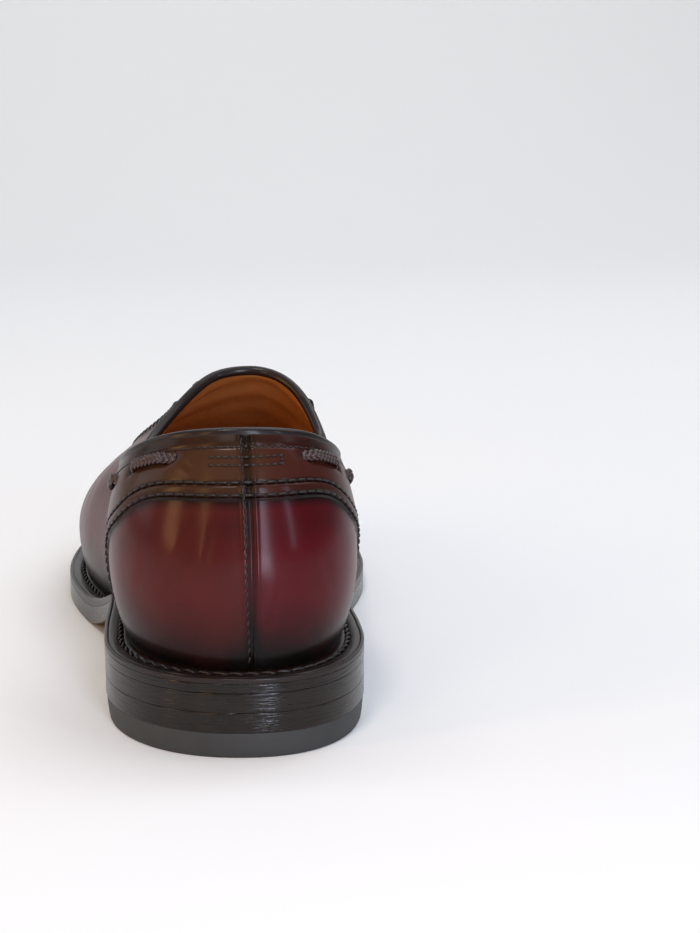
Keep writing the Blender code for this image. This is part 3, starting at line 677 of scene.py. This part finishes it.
band_u = np.concatenate([
    split((0, 0.12, 26), (0.12, 0.8, 62), (0.8, 1, 26)),
    u_of(split((HEEL_CENTRE, 26.0, 62), (26.0, THROAT_CORNER, 54)))[1:],
    u_of(split((THROAT_CORNER, TOE_CENTRE, 50)))[1:],
    split((2, 3, 66))[1:],
])
parts, darkness, warm_reflection_marks = [], [], []
for side in (-1, 1):
    rim = edge_t(side, band_u)
    spread = ease(band_u, 0.55, 0.95)
    knots = [np.interp(band_u, *seam_row(side, over)) for over in (-1.4, 5.6)]
    low = np.minimum(knots[0], rim * 0.9) * (1 - spread) + 0.3 * rim * spread
    high = np.minimum(np.maximum(knots[1], low + 0.004), rim * 0.94) * (1 - spread) + 0.6 * rim * spread
    a, b, c = split((0, 1, 30))[:, None], split((0, 1, 34))[:, None], split((0, 1, 32))[:, None]
    c = 1 - (1 - c) ** 1.25
    t = np.concatenate([low * a, low + (high - low) * b[1:], high + (rim - high) * c[1:]])
    u = band_u + 0 * t
    point = last(side, u, t)
    rim_point = last(side, band_u, rim)
    top = np.linalg.norm(rim_point[None] - point, axis=-1)
    open_edge = np.where(band_u < u_of(THROAT_CORNER), 0, 30 * ease(band_u, u_of(THROAT_CORNER), u_of(100.0)))
    up = relief(side, point, top + open_edge)
    seam_run = np.concatenate([[0], np.cumsum(np.linalg.norm(np.diff(rim_point, axis=0), axis=1))])
    grow = ease(station(band_u)[0], THROAT_CORNER, THROAT_CORNER + RIDGE_RISE)
    ridge = RIDGE_HEIGHT * grow * (1 + 0.16 * np.cos(2 * math.pi * seam_run / APRON_STITCH_PITCH))
    up = up + ridge * hill(top, 0.0, 1.9) - 0.25 * grow * hill(top, 4.0, 1.3)
    skin = point + normal_of(side, u, t) * up[..., None]
    parts.append(sheet(skin))
    dark = burnish(side, point, top + open_edge, point[0, :, 2])
    darkness.append(np.maximum(dark, 0.85 * grow * hill(top, 1.0, 2.2)).ravel())
    # painted warm reflection, brown, on the collar over the counter's seam, stronger to the left, and weaker
    # over the whole outer side
    over_seam = ease(from_seam(point), -0.6, 0.4) * (1 - ease(point[..., 1], 30.0, 70.0))
    left_reflection = 0.55 + 0.45 * (1 - ease(point[..., 0], 0.0, 14.0))
    warm_reflection_marks.append((over_seam * left_reflection + 0.25 * (1 - over_seam) * (side < 0)).ravel())
    ahead = band_u > u_of(THROAT_CORNER) - 1e-6
    share = (split((0, 1, 30)) ** 1.35)[:, None]
    apron_u, edge = band_u[ahead], rim[ahead]
    t = edge + (1 - edge) * share
    u = bowed(apron_u + 0 * t, share)
    point = last(side, u, t)
    away = np.linalg.norm(point - last(side, apron_u, edge)[None], axis=-1)
    y, grown = point[..., 1], grow[ahead]
    up = ridge[ahead] * hill(away, 0.0, 1.3) - 0.45 * grown * hill(away, 2.6, 1.0)
    up = up + 0.1 * hill(y, 142.0, 14.0) * ripple(point, 9.5, -0.25) * ease(away, 2, 14)
    throat_u = bowed(u_of(THROAT_CORNER) + 0 * share, share)
    front = y - last(side, throat_u, edge[0] + (1 - edge[0]) * share)[..., 1]
    up = up - 0.3 * hill(front, 3.4, 0.5) * (station(u)[0] < 130)
    lift = normal_of(side, u, t) * up[..., None]
    lift[-1, :, 0] = 0
    apron = point + lift
    apron[0] = skin[-1][ahead]
    parts.append(sheet(apron))
    dark = [0.85 * grown * hill(away, 0.8, 2.4), 0.65 * hill(front, 1.5, 3.2) * (y < 112)]
    darkness.append(np.maximum.reduce([*dark, 0.6 * ease(y, 205.0, 256.0)]).ravel())
    # painted warm reflection, brown, on the outer side of the apron near its seam
    warm_reflection_marks.append(0.25 * (side < 0) * ease(away, 30.0, 0.0).ravel())
marks = {"burnish": np.concatenate(darkness), "browned": np.concatenate(warm_reflection_marks)}
make_piece("calf_upper", *joined(parts), calf, ("upper",), "calf", marks)


# The lining: vegetable-tanned tan calf, glued inside and drawn into soft folds round the toe and
# throat. It shows down to the insole.
tan = mottled(
    "tan_lining", "b8793a", "e6ab6a", (60.0, 5.0, 0.6), (1500.0, 3.0), (0.35, 0.0001), {"Roughness": 0.55},
)

parts = []
for side in (-1, 1):
    u1 = np.concatenate([
        split((0, 1, 44)), u_of(split((HEEL_CENTRE, THROAT_CORNER, 44)))[1:],
        u_of(split((THROAT_CORNER, TOE_CENTRE, 44)))[1:], split((2, 3, 36))[1:],
    ])
    rim = edge_t(side, u1)
    t = rim * split((0, 1, 46))[:, None]
    u = u1 + 0 * t
    point = last(side, u, t)
    x, y, z = np.moveaxis(point, -1, 0)
    folds = 0.28 * hill(y, 92.0, 26.0) * np.sin(y / 3.1 + z / 4.3)
    folds = folds + 0.2 * hill(y, -20.0, 14.0) * np.sin(x / 4.1) * hill(z, 66, 14)
    band = point - normal_of(side, u, t) * (WALL - 0.1 + folds)[..., None]
    ahead = u1 > u_of(THROAT_CORNER) - 1e-6
    share = split((0, 1, 24))[:, None]
    t = rim[ahead] + (1 - rim[ahead]) * share
    u = bowed(u1[ahead] + 0 * t, share)
    point = last(side, u, t)
    x, y, z = np.moveaxis(point, -1, 0)
    folds = 0.45 * hill(y, 112.0, 22.0) * np.sin(y / 2.6 + 1.4 * np.sin(x / 9.0))
    inward = normal_of(side, u, t)
    inward[-1, :, 0] = 0
    cover = point - inward * (WALL - 0.1 + folds)[..., None]
    cover[0] = band[-1][ahead]
    parts += [sheet(band), sheet(cover)]
lining = make_piece("tan_calf_lining", *joined(parts), tan, slot="lining_tan")
wall = lining.modifiers.new("thickness", "SOLIDIFY")
wall.thickness, wall.offset = 0.0006, 1.0


# The rolled binding of the opening: a strip of black-edged calf folded over the rim and stitched
# down, which stands as a smooth bead.
BEAD = 2.7
edging = mottled(
    "black_dressed_leather", "0c0807", "261612", (150.0, 3.0), (1600.0, 3.0), (0.3, 0.00008),
    {"Roughness": 0.45, "Specular IOR Level": 0.2, "Coat Weight": 0.3, "Coat Roughness": 0.16},
)

points, normals = [], []
for side in (-1, 1):
    u1 = np.concatenate([split((0, 1, 60)), u_of(split((HEEL_CENTRE, THROAT_CORNER, 80)))[1:]])
    share = split((0, 1, 44))[1:]
    corner = rib_angle(THROAT_ANGLE)
    u = np.concatenate([u1, bowed(u_of(THROAT_CORNER) + 0 * share, share)])
    t = np.concatenate([edge_t(side, u1), corner + (1 - corner) * share])
    t[len(u1) - 1] = corner
    row = slice(None) if side < 0 else slice(-2, 0, -1)
    points.append(last(side, u, t)[row])
    normals.append(normal_of(side, u, np.minimum(t, 0.995))[row])
points, normals = np.concatenate(points), np.concatenate(normals)


def softened(loop, times):
    """Each point of a closed loop moved to the mean of itself and its neighbours, many times."""
    for _ in range(times):
        loop = (np.roll(loop, 1, axis=0) + 2 * loop + np.roll(loop, -1, axis=0)) / 4
    return loop


points, normals = softened(points, 6), unit(softened(normals, 30))
along = unit(np.roll(points, -1, axis=0) - np.roll(points, 1, axis=0))
rise = unit(np.cross(along, normals))
rise *= np.sign(rise[0, 2])
centre = points - normals * WALL / 2 + rise * (BEAD / 2 - 0.1)
turn = np.linspace(0, 2 * math.pi, 18, endpoint=False)
flatter = 0.5 * (np.sin(turn) < 0) * np.sin(turn) ** 2
section = normals[:, None] * (np.cos(turn)[:, None] * 1.62)
section = section + rise[:, None] * (np.sin(turn) * BEAD / 2 - flatter)[:, None]
bead = centre[:, None] + section
ring_faces = grid_faces(len(bead) + 1, len(turn), wrap=True) % (len(bead) * len(turn))
make_piece("rolled_binding", bead.reshape(-1, 3), ring_faces, edging, ("topline_binding",), "edge_black")


# The collar's lace: the same plait, threaded through slots in the quarters, so that two stretches
# show on each side.
for side, name in SIDES:
    for stretch, low, high in LACE_STRETCHES:
        u1 = np.linspace(0, 1.4, 500)
        t1 = t_at_height(side, u1, lambda y: topline(side, y) - LACE_DROP)
        y1 = last(side, u1, t1)[:, 1]
        u = np.interp(np.linspace(low - 0.8, high + 0.8, 60), y1, u1)
        t = np.interp(u, u1, t1)
        s = np.linspace(0, 1, len(u))
        dive = 1 - np.minimum(1, np.minimum(s, 1 - s) * (high - low) / 2.6) ** 2
        path = outside(side, u, t, 1.0 - 1.9 * dive)
        make_piece(
            f"collar_lace_{stretch}_{name}", *plait(path, normal_of(side, u, t), 0.9, 0.36, 5.0),
            lace_calf, (f"lace_{stretch}_{name}",), "calf",
        )


# The stitches: waxed dark thread in rows on the collar, counter, back seam and pull tab, whipped
# across the apron's ridge, and heavier in the welt. Each is a capsule pulled down at its ends.
thread = mottled(
    "waxed_thread", "1d1411", "1d1411", (400.0, 2.0), (3000.0, 2.0), (0.4, 0.00006),
    {"Roughness": 0.45, "Specular IOR Level": 0.3, "Coat Weight": 0.25, "Coat Roughness": 0.25},
)


def stitches(path, out, pitch, length, radius, sag=0.12, slant=0.0):
    """A capsule at every pitch along a path, turned by slant: its section shrinks as a root of
    cos and its ends sink with the square of the distance from its middle."""
    spots, out = paced(path, pitch, out)
    ahead = unit(np.gradient(spots, axis=0))
    out = unit(out - ahead * np.sum(out * ahead, axis=1, keepdims=True))
    side_way = np.cross(ahead, out)
    cos, sin = math.cos(slant), math.sin(slant)
    ahead, side_way = ahead * cos + side_way * sin, side_way * cos - ahead * sin
    bow, turn = np.linspace(-1, 1, 8) * math.pi / 2, np.linspace(0, 2 * math.pi, 7)[:-1]
    reach_out, girth = np.sin(bow)[:, None], radius * (np.cos(bow)[:, None]) ** 0.6
    local = [
        length / 2 * reach_out + 0 * turn,
        girth * np.cos(turn),
        girth * np.sin(turn) - sag * reach_out**2,
    ]
    axes = (ahead, side_way, out)
    points = spots[:, None, None] + sum(v[None, ..., None] * a[:, None, None] for v, a in zip(local, axes))
    return joined([sheet(capsule, wrap=True) for capsule in points])


def sewn(side, u, t, out, *thread_sizes):
    """Stitches at a height over the last: pitch, length, radius, then sag and slant if any."""
    return stitches(outside(side, u, t, out), normal_of(side, u, t), *thread_sizes)


# the pull tab's two rows and how far they run to each side, then its closing upright row
TAB_ROWS, TAB_REACH, TAB_END = (82.3, 80.2), {-1: 8.5, 1: 11.0}, 11.4
COLLAR_ROW = 3.4
rows = {"counter_stitches": [], "collar_stitches": [], "apron_stitches": []}
for side in (-1, 1):
    for over, lift in zip(SEAM_ROWS, (0.02, 0.0)):
        rows["counter_stitches"].append(sewn(side, *seam_row(side, over), lift, 3.2, 2.7, 0.4))
    u = np.concatenate([split((0, 1, 150)), u_of(split((HEEL_CENTRE, 84.0, 150)))[1:]])
    t = t_at_height(side, u, lambda y: topline(side, y) - COLLAR_ROW)
    share = split((0.06, 1, 60))
    corner = rib_angle(THROAT_ANGLE)
    front_u = u_of(station(bowed(u_of(THROAT_CORNER) + 0 * share, share))[0] + COLLAR_ROW)
    u, t = np.concatenate([u, front_u]), np.concatenate([t, corner + (1 - corner) * share])
    rows["collar_stitches"].append(sewn(side, u, t, -0.12, 1.9, 1.45, 0.25, 0.08))
    u = np.linspace(0.0, 0.3, 120)
    tab_t = [t_at_height(side, u, lambda y: z + 0 * y) for z in TAB_ROWS]
    for t in tab_t:
        across = last(side, u, t)[:, 0]
        keep = np.abs(across) < TAB_REACH[side]
        rows["collar_stitches"].append(sewn(side, u[keep], t[keep], 0.14, 1.95, 1.6, 0.34, 0.1))
    if side > 0:
        t = np.linspace(tab_t[1][0], tab_t[0][0], 20)
        u = np.interp(TAB_END, across, u) + 0 * t
        rows["collar_stitches"].append(sewn(side, u, t, 0.14, 1.05, 1.0, 0.34, 0.1))
    u = np.concatenate([u_of(split((THROAT_CORNER + 5, TOE_CENTRE, 120))), split((2, 3, 160))[1:]])
    whipped = (APRON_STITCH_PITCH, 3.4, 0.36, 0.8, math.pi / 2)
    rows["apron_stitches"].append(sewn(side, u, apron_t(u), RIDGE_HEIGHT + 0.1, *whipped))
top_t = t_at_height(-1, np.zeros(1), lambda y: topline(-1, y) - 2.0)[0]
t = np.linspace(0.03, top_t, 150)
centre_line = last(-1, 0.0, t)
narrow = 0.4 + 0.5 * ease(centre_line[:, 2], 22.0, 48.0)
u = 1.25 * narrow / (math.pi / 2 * (HEEL_CENTRE - centre_line[:, 1]))
step_in = COUNTER_DEPTH * (1 - ease(from_seam(centre_line), -0.4, 0.1))
rows["collar_stitches"].append(sewn(-1, u, t, 0.3 - step_in, 2.7, 2.1, 0.32, 0.1, 0.25))
for name, sewn_rows in rows.items():
    make_piece(name, *joined(sewn_rows), thread)


# The insole and its sock: tan calf glued on a leather insole, cupped a little at its edge.
WELT_WIDTH, INSOLE_INSET, INSOLE_THICKNESS = 11.0, 9.4, 3.0
ring_u = np.concatenate([split((0, 1, 56)), split((1, 2, 104))[1:], split((2, 3, 84))[1:]])


def sole_ring(inset, height):
    """The plan outline, up the outer side and back down the inner one."""
    sides = [sole_edge(side, ring_u, inset, height) for side in (-1, 1)]
    return np.concatenate([sides[0], sides[1][-2:0:-1]])


def swept(profile):
    """A profile of (inset, height) rows carried round the plan outline."""
    return sheet(np.stack([sole_ring(inset, height) for inset, height in profile]), wrap=True)


def across_sole(inset, height, rows=14):
    """Straight lines from the outer edge to the inner one, at height(y, share across)."""
    share = np.linspace(0, 1, rows)[:, None, None]
    outer, inner = (sole_edge(side, ring_u, inset, lambda y: 0 * y) for side in (-1, 1))
    points = outer * (1 - share) + inner * share
    points[..., 2] = height(points[..., 1], share[..., 0])
    return sheet(points)


sock_top = lambda y: welt_top(y) + GAP + INSOLE_THICKNESS
parts = [
    swept((
        (WELT_WIDTH + GAP, lambda y: outsole_top(y) + GAP),
        (WELT_WIDTH + GAP, lambda y: welt_top(y) + GAP),
        (INSOLE_INSET, lambda y: welt_top(y) + GAP),
        (INSOLE_INSET, lambda y: sock_top(y) - 0.6),
        (INSOLE_INSET + 0.3, lambda y: sock_top(y) - 0.1),
        (INSOLE_INSET + 0.9, sock_top),
    )),
    across_sole(INSOLE_INSET + 0.9, lambda y, share: sock_top(y) - 0.35 * np.sin(share * math.pi) ** 0.7),
    across_sole(WELT_WIDTH + GAP, lambda y, share: outsole_top(y) + GAP + 0 * share),
]
make_piece("insole_and_sock", *joined(parts), tan, ("insole",), "lining_tan")


# The welt: a strip of leather sewn round the upper, blacked and waxed, with a groove that holds a
# row of thick lockstitches.
WELT_STITCH_PITCH, WELT_STITCH_INSET = 4.5, 4.9
welt_bottom = lambda y: outsole_top(y) + 0.04
# inset and depth under the welt's top: a fine scored line by the edge, then the stitch groove
WELT_SECTION = (
    (0.06, 0.16), (0.4, 0.03), (0.75, 0.0), (1.05, 0.03), (1.2, 0.26), (1.4, 0.26), (1.55, 0.02),
    (1.9, 0.0), (3.7, 0.0), (4.05, 0.12), (4.4, 0.45), (4.9, 0.6), (5.4, 0.5), (5.8, 0.1),
    (6.1, 0.0), (WELT_WIDTH, 0.0),
)
profile = [(0.1, welt_bottom), (0.02, lambda y: welt_bottom(y) + 0.06)]
profile += [
    (0.0, lambda y, k=k: welt_bottom(y) + k * (welt_top(y) - welt_bottom(y))) for k in (0.15, 0.3, 0.6, 0.75)
]
profile += [(inset, lambda y, d=depth: welt_top(y) - d) for inset, depth in WELT_SECTION]
profile += [(WELT_WIDTH, welt_bottom), (0.1, welt_bottom)]
make_piece("sewn_welt", *swept(profile), edging, ("welt",), "edge_black")
loop = sole_ring(WELT_STITCH_INSET, lambda y: welt_top(y) + 0.1)
loop = np.concatenate([loop, loop[:1]])
upright = np.broadcast_to((0.0, 0.0, 1.0), loop.shape)
lockstitch = (WELT_STITCH_PITCH, 4.3, 0.52, 0.35, 0.3)
make_piece("welt_stitches", *stitches(loop, upright, *lockstitch), thread)


# The outsole: one layer of vegetable-tanned bend leather, its edge blacked and waxed, its bottom
# plain brown and lightly grained.
bend = mottled(
    "sole_bend_leather", "3a281a", "5a402a", (45.0, 5.0, 0.6), (900.0, 4.0), (0.4, 0.00012),
    {"Roughness": 0.45},
)
faces_of_sole = [
    across_sole(0.5, lambda y, share: outsole_bottom(y) + 0 * share),
    across_sole(0.12, lambda y, share: outsole_top(y) + 0 * share),
]
make_piece("outsole_leather", *joined(faces_of_sole), bend, ("outsole",), "sole_leather")


# The heel: two lifts of stacked leather, sanded, inked dark brown and polished with hot wax, over
# a rubber top lift. Sanding runs round the heel, so a highlight draws out up and down.
HEEL_BREAST, HEEL_BREAST_HOLLOW = 47.0, 5.0
stack = new_material("waxed_heel_stack")
place = node(stack, "TexCoord").outputs["Object"]
LAYER_MM = 0.45
flat = node(stack, "Mapping", {"Vector": place, "Scale": (110.0, 110.0, 1000 / LAYER_MM)})
sanding = node(stack, "TexNoise", {"Vector": flat.outputs[0], "Scale": 1.0, "Detail": 3.0})
wide_flat = node(stack, "Mapping", {"Vector": place, "Scale": (25.0, 25.0, 420.0)})
layers = node(stack, "TexNoise", {"Vector": wide_flat.outputs[0], "Scale": 1.0, "Detail": 3.0})
inks = {0: layers.outputs["Fac"], 6: linear("080503"), 7: linear("1c130c")}
hue = node(stack, "Mix", inks, data_type="RGBA")
sanded = {"Height": sanding.outputs["Fac"], "Strength": 1.0, "Distance": 0.00017}
sand_bump = node(stack, "Bump", sanded).outputs[0]
stack_shader = node(stack, "BsdfPrincipled", {
    "Base Color": hue.outputs[2], "Roughness": 0.4, "Normal": sand_bump, "Coat Normal": sand_bump,
    "Specular IOR Level": 0.05, "Coat Weight": 0.6, "Coat Roughness": 0.1,
})
node(stack, "OutputMaterial", {"Surface": stack_shader.outputs[0]})
edge_profile = [(0.12, outsole_top), (0.03, lambda y: outsole_top(y) - 0.04)]
edge_profile += [(0.0, lambda y, d=d: outsole_top(y) - d) for d in (0.12, 0.3)]
edge_profile += [(0.0, lambda y, d=d: outsole_bottom(y) + d) for d in (1.2, 0.4, 0.2)]
edge_profile += [(0.06, lambda y: outsole_bottom(y) + 0.08), (0.5, outsole_bottom)]
make_piece("outsole_edge", *swept(edge_profile), stack, slot="stacked_leather")

rubber = mottled(
    "moulded_rubber", "262626", "3a3a38", (70.0, 5.0), (2200.0, 3.0), (0.4, 0.0001), {"Roughness": 0.62},
)
heel_u = np.concatenate([split((0, 1, 70)), u_of(split((HEEL_CENTRE, HEEL_BREAST, 30)))[1:]])


def heel_ring(inset, z):
    """Plan of the heel at height z: its sides follow the sole and its front is a parabola."""
    outer, inner = (sole_edge(side, heel_u, inset, lambda y: 0 * y + z) for side in (-1, 1))
    across = np.linspace(0, 1, 31)[1:-1, None]
    front = outer[-1] * (1 - across) + inner[-1] * across
    front[:, 1] -= HEEL_BREAST_HOLLOW * 4 * across[:, 0] * (1 - across[:, 0])
    return np.concatenate([outer, front, inner[:0:-1]])


def heel_lift(name, stands_for, levels, finish, slot):
    """Rings at (inset, height) from the lower face to the upper one, both closed by strips."""
    rings = np.stack([heel_ring(inset, z) for inset, z in levels])
    points, sides = sheet(rings, wrap=True)
    n, top = rings.shape[1], len(points) - rings.shape[1]
    i = np.arange(1, n // 2 - 1)
    strips = np.stack([i, i + 1, n - i - 1, n - i], -1)
    ends = [[0, 1, n - 1], [n // 2 - 1, n // 2, n // 2 + 1]]
    faces = np.concatenate([sides, strips, strips + top])
    more = ends + [[k + top for k in end] for end in ends]
    make_piece(name, points, faces, finish, (stands_for,), slot, more=more)


RUBBER_LEVELS = (
    (1.5, 0.0), (1.15, 0.2), (1.0, 0.5), (0.75, 2.2), (0.35, 6.2), (0.3, 6.9), (0.3, 7.2),
    (0.33, 7.3), (0.45, 7.36),
)
# inset and distance from the nearer face of a leather lift's rounded edge
LIFT_EDGE = ((0.22, 0.0), (0.13, 0.05), (0.1, 0.14), (0.1, 0.5))
heel_lift("rubber_top_lift", "top_lift", RUBBER_LEVELS, rubber, "rubber")
for name, low, high in (("heel_lift_2", 7.39, 13.19), ("heel_lift_1", 13.21, HEEL_HEIGHT - 0.02)):
    levels = [(inset, low + d) for inset, d in LIFT_EDGE]
    levels += [(inset, high - d) for inset, d in LIFT_EDGE[::-1]]
    heel_lift("waxed_" + name, name, levels, stack, "stacked_leather")


# The studio: a pale sweep that runs from the floor up behind and has its own light, a broad soft
# light above, and lights at the camera's sides, warm on the left and cool on the right.
paper = new_material("pale_paper")
matt = {"Base Color": linear("f3f3f2"), "Roughness": 0.9, "Specular IOR Level": 0.1}
paper_shader = node(paper, "BsdfPrincipled", matt)
node(paper, "OutputMaterial", {"Surface": paper_shader.outputs[0]})
SWEEP_START, SWEEP_RADIUS = 1.6, 1.2
bend_angle = np.linspace(0, math.pi / 2, 24)
profile = np.concatenate([
    [[-4.0, 0.0]],
    np.stack([SWEEP_START + SWEEP_RADIUS * np.sin(bend_angle), SWEEP_RADIUS * (1 - np.cos(bend_angle))], -1),
    [[SWEEP_START + SWEEP_RADIUS, 5.0]],
])
width = np.array([-5.0, 5.0])
points, faces = sheet(np.stack(np.broadcast_arrays(width, profile[:, :1], profile[:, 1:]), -1))
sweep = bpy.data.meshes.new("paper_sweep")
sweep.from_pydata(points.tolist(), [], faces.tolist())
sweep.shade_smooth()
sweep.materials.append(paper)
backdrop = bpy.data.objects.new("paper_sweep", sweep)
bpy.context.scene.collection.objects.link(backdrop)

world = bpy.data.worlds.new("studio")
world.use_nodes = True
air = world.node_tree.nodes["Background"].inputs
air["Color"].default_value, air["Strength"].default_value = linear("e4e6ea"), 0.2
bpy.context.scene.world = world

# name, place, target, width, height, watts, colour
LIGHTS = (
    ("overhead", (0.8, 0.35, 1.6), (0.0, 0.2, 0.0), 1.5, 1.5, 12.0, "eef4ff"),
    ("backdrop", (0.0, 1.2, 2.6), (0.0, 2.8, 0.5), 3.0, 0.8, 34.0, "fafcff"),
    ("cool_near", (0.27, -1.25, 0.5), (0.0, 0.0, 0.05), 0.26, 1.0, 8.5, "dfe8ff"),
    ("cool_low", (0.075, -0.34, 0.035), (0.0, -0.04, 0.045), 0.08, 0.06, 0.16, "dfe8ff"),
    ("cool_far", (0.95, -0.85, 0.5), (0.0, 0.0, 0.05), 0.1, 0.7, 1.6, "dfe8ff"),
    ("warm_near", (-0.72, -1.0, 0.5), (0.0, 0.0, 0.05), 0.14, 0.9, 2.2, "ffc788"),
    ("warm_far", (-1.25, -0.5, 0.45), (0.0, 0.0, 0.05), 0.3, 0.7, 4.2, "ffc788"),
    ("inside", (-0.25, -0.6, 1.5), (0.0, 0.07, 0.08), 0.25, 0.25, 6.5, "f6f2ec"),
    ("left_fill", (-1.3, 0.4, 0.6), (0.0, 0.1, 0.05), 0.8, 0.9, 2.6, "f4f6ff"),
)
for name, place, target, width, height, watts, colour in LIGHTS:
    lamp = bpy.data.lights.new(name, "AREA")
    lamp.shape = "RECTANGLE"
    lamp.size, lamp.size_y, lamp.energy = width, height, watts
    lamp.color = linear(colour)[:3]
    shining = bpy.data.objects.new(name, lamp)
    back = unit(np.subtract(place, target))
    right = unit(np.cross((0.0, 0.0, 1.0), back))
    turned = np.stack([right, np.cross(back, right), back], -1)
    shining.matrix_world = Matrix.Translation(place) @ Matrix(turned.tolist()).to_4x4()
    shining.visible_camera = False
    bpy.context.scene.collection.objects.link(shining)
